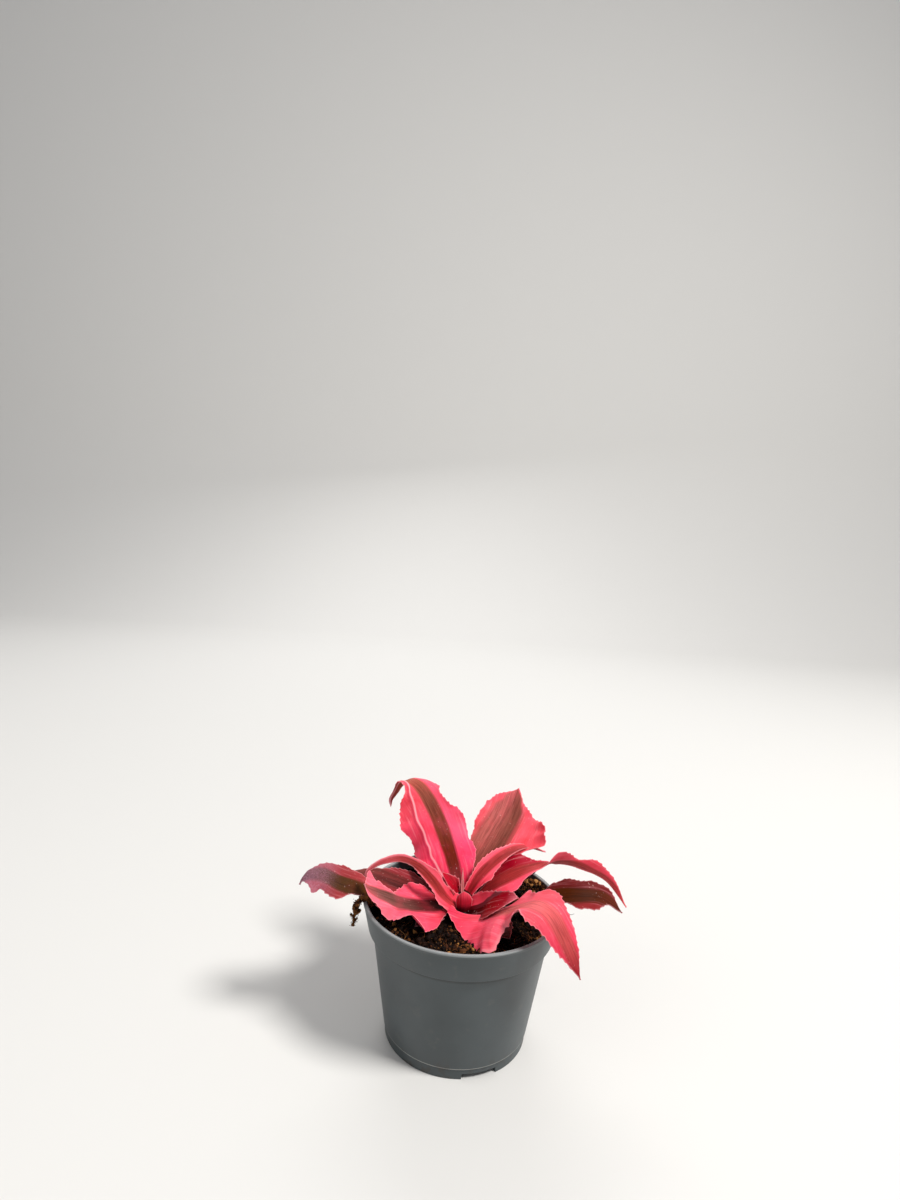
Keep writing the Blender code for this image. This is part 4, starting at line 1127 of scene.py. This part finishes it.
def makeTrim(finish):
    # a round tube that thins evenly along a curve, for the twig and for the hair
    count = trimMake["stations"]
    for name, (route, radius, tip) in trimMake["pieces"].items():
        path = smoothRoute(route, count)[0]
        points, faces, per = tubes(path[None], np.linspace(radius, tip, count)[None], trimMake["sides"])
        tone = np.full(per, trimMake["tone"])
        addPiece("root_" + name, points, faces, finish, fields={"tone": tone})


stageMake = dict(near=-1.6, bend=1.1, radius=0.5, top=2.4, halfWidth=2.6,   # metres
                 floorRows=12, bendRows=24)
paperConstants = {"Base Color": (0.66, 0.65, 0.63, 1.0), "Roughness": 0.9}


def makeStage():
    # a sheet that runs along the floor and curls up far behind, as a quarter circle and a wall
    stage = stageMake
    arc = np.linspace(0.0, math.pi / 2.0, stage["bendRows"])[1:]
    flat = np.linspace(stage["near"], stage["bend"], stage["floorRows"])
    y = np.r_[flat, stage["bend"] + stage["radius"] * np.sin(arc), stage["bend"] + stage["radius"]]
    z = np.r_[np.zeros_like(flat), stage["radius"] * (1.0 - np.cos(arc)), stage["top"]]
    x = np.linspace(-stage["halfWidth"], stage["halfWidth"], 3)
    points = np.stack(np.broadcast_arrays(x[None], y[:, None], z[:, None]), -1).reshape(-1, 3)
    mesh = bpy.data.meshes.new("studio_sweep")
    mesh.from_pydata(points.tolist(), [], gridFaces(len(y), 3).tolist())
    mesh.shade_smooth()
    mesh.materials.append(material("studio_paper", dict, paperConstants))
    sweep = placed("studio_sweep", mesh)


lightMake = dict(
    # each: place and size in metres, power in watts, and colour; they all point at the plant
    key=((1.0, -0.56, 1.62), 0.55, 44.0, (1.0, 0.985, 0.96)),
    fill=((-1.35, -0.80, 1.0), 1.5, 6.0, (1.0, 0.98, 0.95)),
    back=((-0.15, 1.15, 0.95), 1.0, 7.0, (1.0, 1.0, 1.0)))
target = (0.0, 0.0, 0.06)    # metres
worldMake = dict(colour=(0.93, 0.95, 1.0, 1.0), strength=0.32)


def makeLights():
    # soft discs turned so that their beams meet at the target, and an even pale sky
    for name, (place, size, power, colour) in lightMake.items():
        lamp = bpy.data.lights.new(name, "AREA")
        lamp.shape = "DISK"
        lamp.size = size
        lamp.energy = power
        lamp.color = colour
        holder = placed(name, lamp)
        holder.location = place
        x, y, z = np.array(target) - np.array(place)
        holder.rotation_euler = (math.atan2(math.hypot(x, y), -z), 0.0, math.atan2(-x, y))
    world = bpy.data.worlds.new("studio")
    world.use_nodes = True
    sky = world.node_tree.nodes["Background"].inputs
    sky["Color"].default_value = worldMake["colour"]
    sky["Strength"].default_value = worldMake["strength"]
    bpy.context.scene.world = world


cameraMake = dict(place=(-13.35, -304.65, 229.8), lens=21.0, sensor=36.0, nearest=10.0,
                  down=5.81, roll=3.29)   # degrees


def makeCamera():
    # looks along +Y, tilted down, then rolled about its own line of sight
    down, roll = math.radians(cameraMake["down"]), math.radians(cameraMake["roll"])
    right = np.array([1.0, 0.0, 0.0])
    up = np.array([0.0, math.sin(down), math.cos(down)])
    forward = np.array([0.0, math.cos(down), -math.sin(down)])
    camera = placed("camera", bpy.data.cameras.new("camera"))
    camera.data.lens = cameraMake["lens"]
    camera.data.sensor_width = cameraMake["sensor"]
    camera.data.clip_start = cameraMake["nearest"] * mm
    turn = np.eye(4)
    turn[:3, 0] = math.cos(roll) * right + math.sin(roll) * up
    turn[:3, 1] = math.cos(roll) * up - math.sin(roll) * right
    turn[:3, 2] = -forward
    turn[:3, 3] = np.array(cameraMake["place"]) * mm
    camera.matrix_world = Matrix(turn.tolist())
    bpy.context.scene.camera = camera


makeCamera()
makeLights()
makeStage()
print("stage, lights and camera made")

makePot(material("pot_plastic_finish", potLook, {}))
print("pot made")
makeSoil(material("peat_finish", soilLook, {"Specular IOR Level": 0.05}))
crumbFinish = material("crumb_finish", crumbLook, {"Specular IOR Level": 0.1})
makeCrumbs(crumbFinish)
makeFibres(crumbFinish)
print("soil made")
makeStem(material("stem_finish", stemLook, {}))
makeRoot(crumbFinish)
makeTrim(crumbFinish)
print("root and trim made")
leafFinish = material("leaf_finish", leafLook, {
    "Specular IOR Level": 0.06, "Subsurface Weight": 0.15, "Subsurface Scale": 0.0012,
    "Subsurface Radius": (1.0, 0.25, 0.2)})
for seed, (name, leaf) in enumerate(leaves.items(), 1):
    makeLeaf(name, leaf, leafFinish, seed)
print("leaves made")

bpy.context.scene.view_settings.view_transform = "Standard"
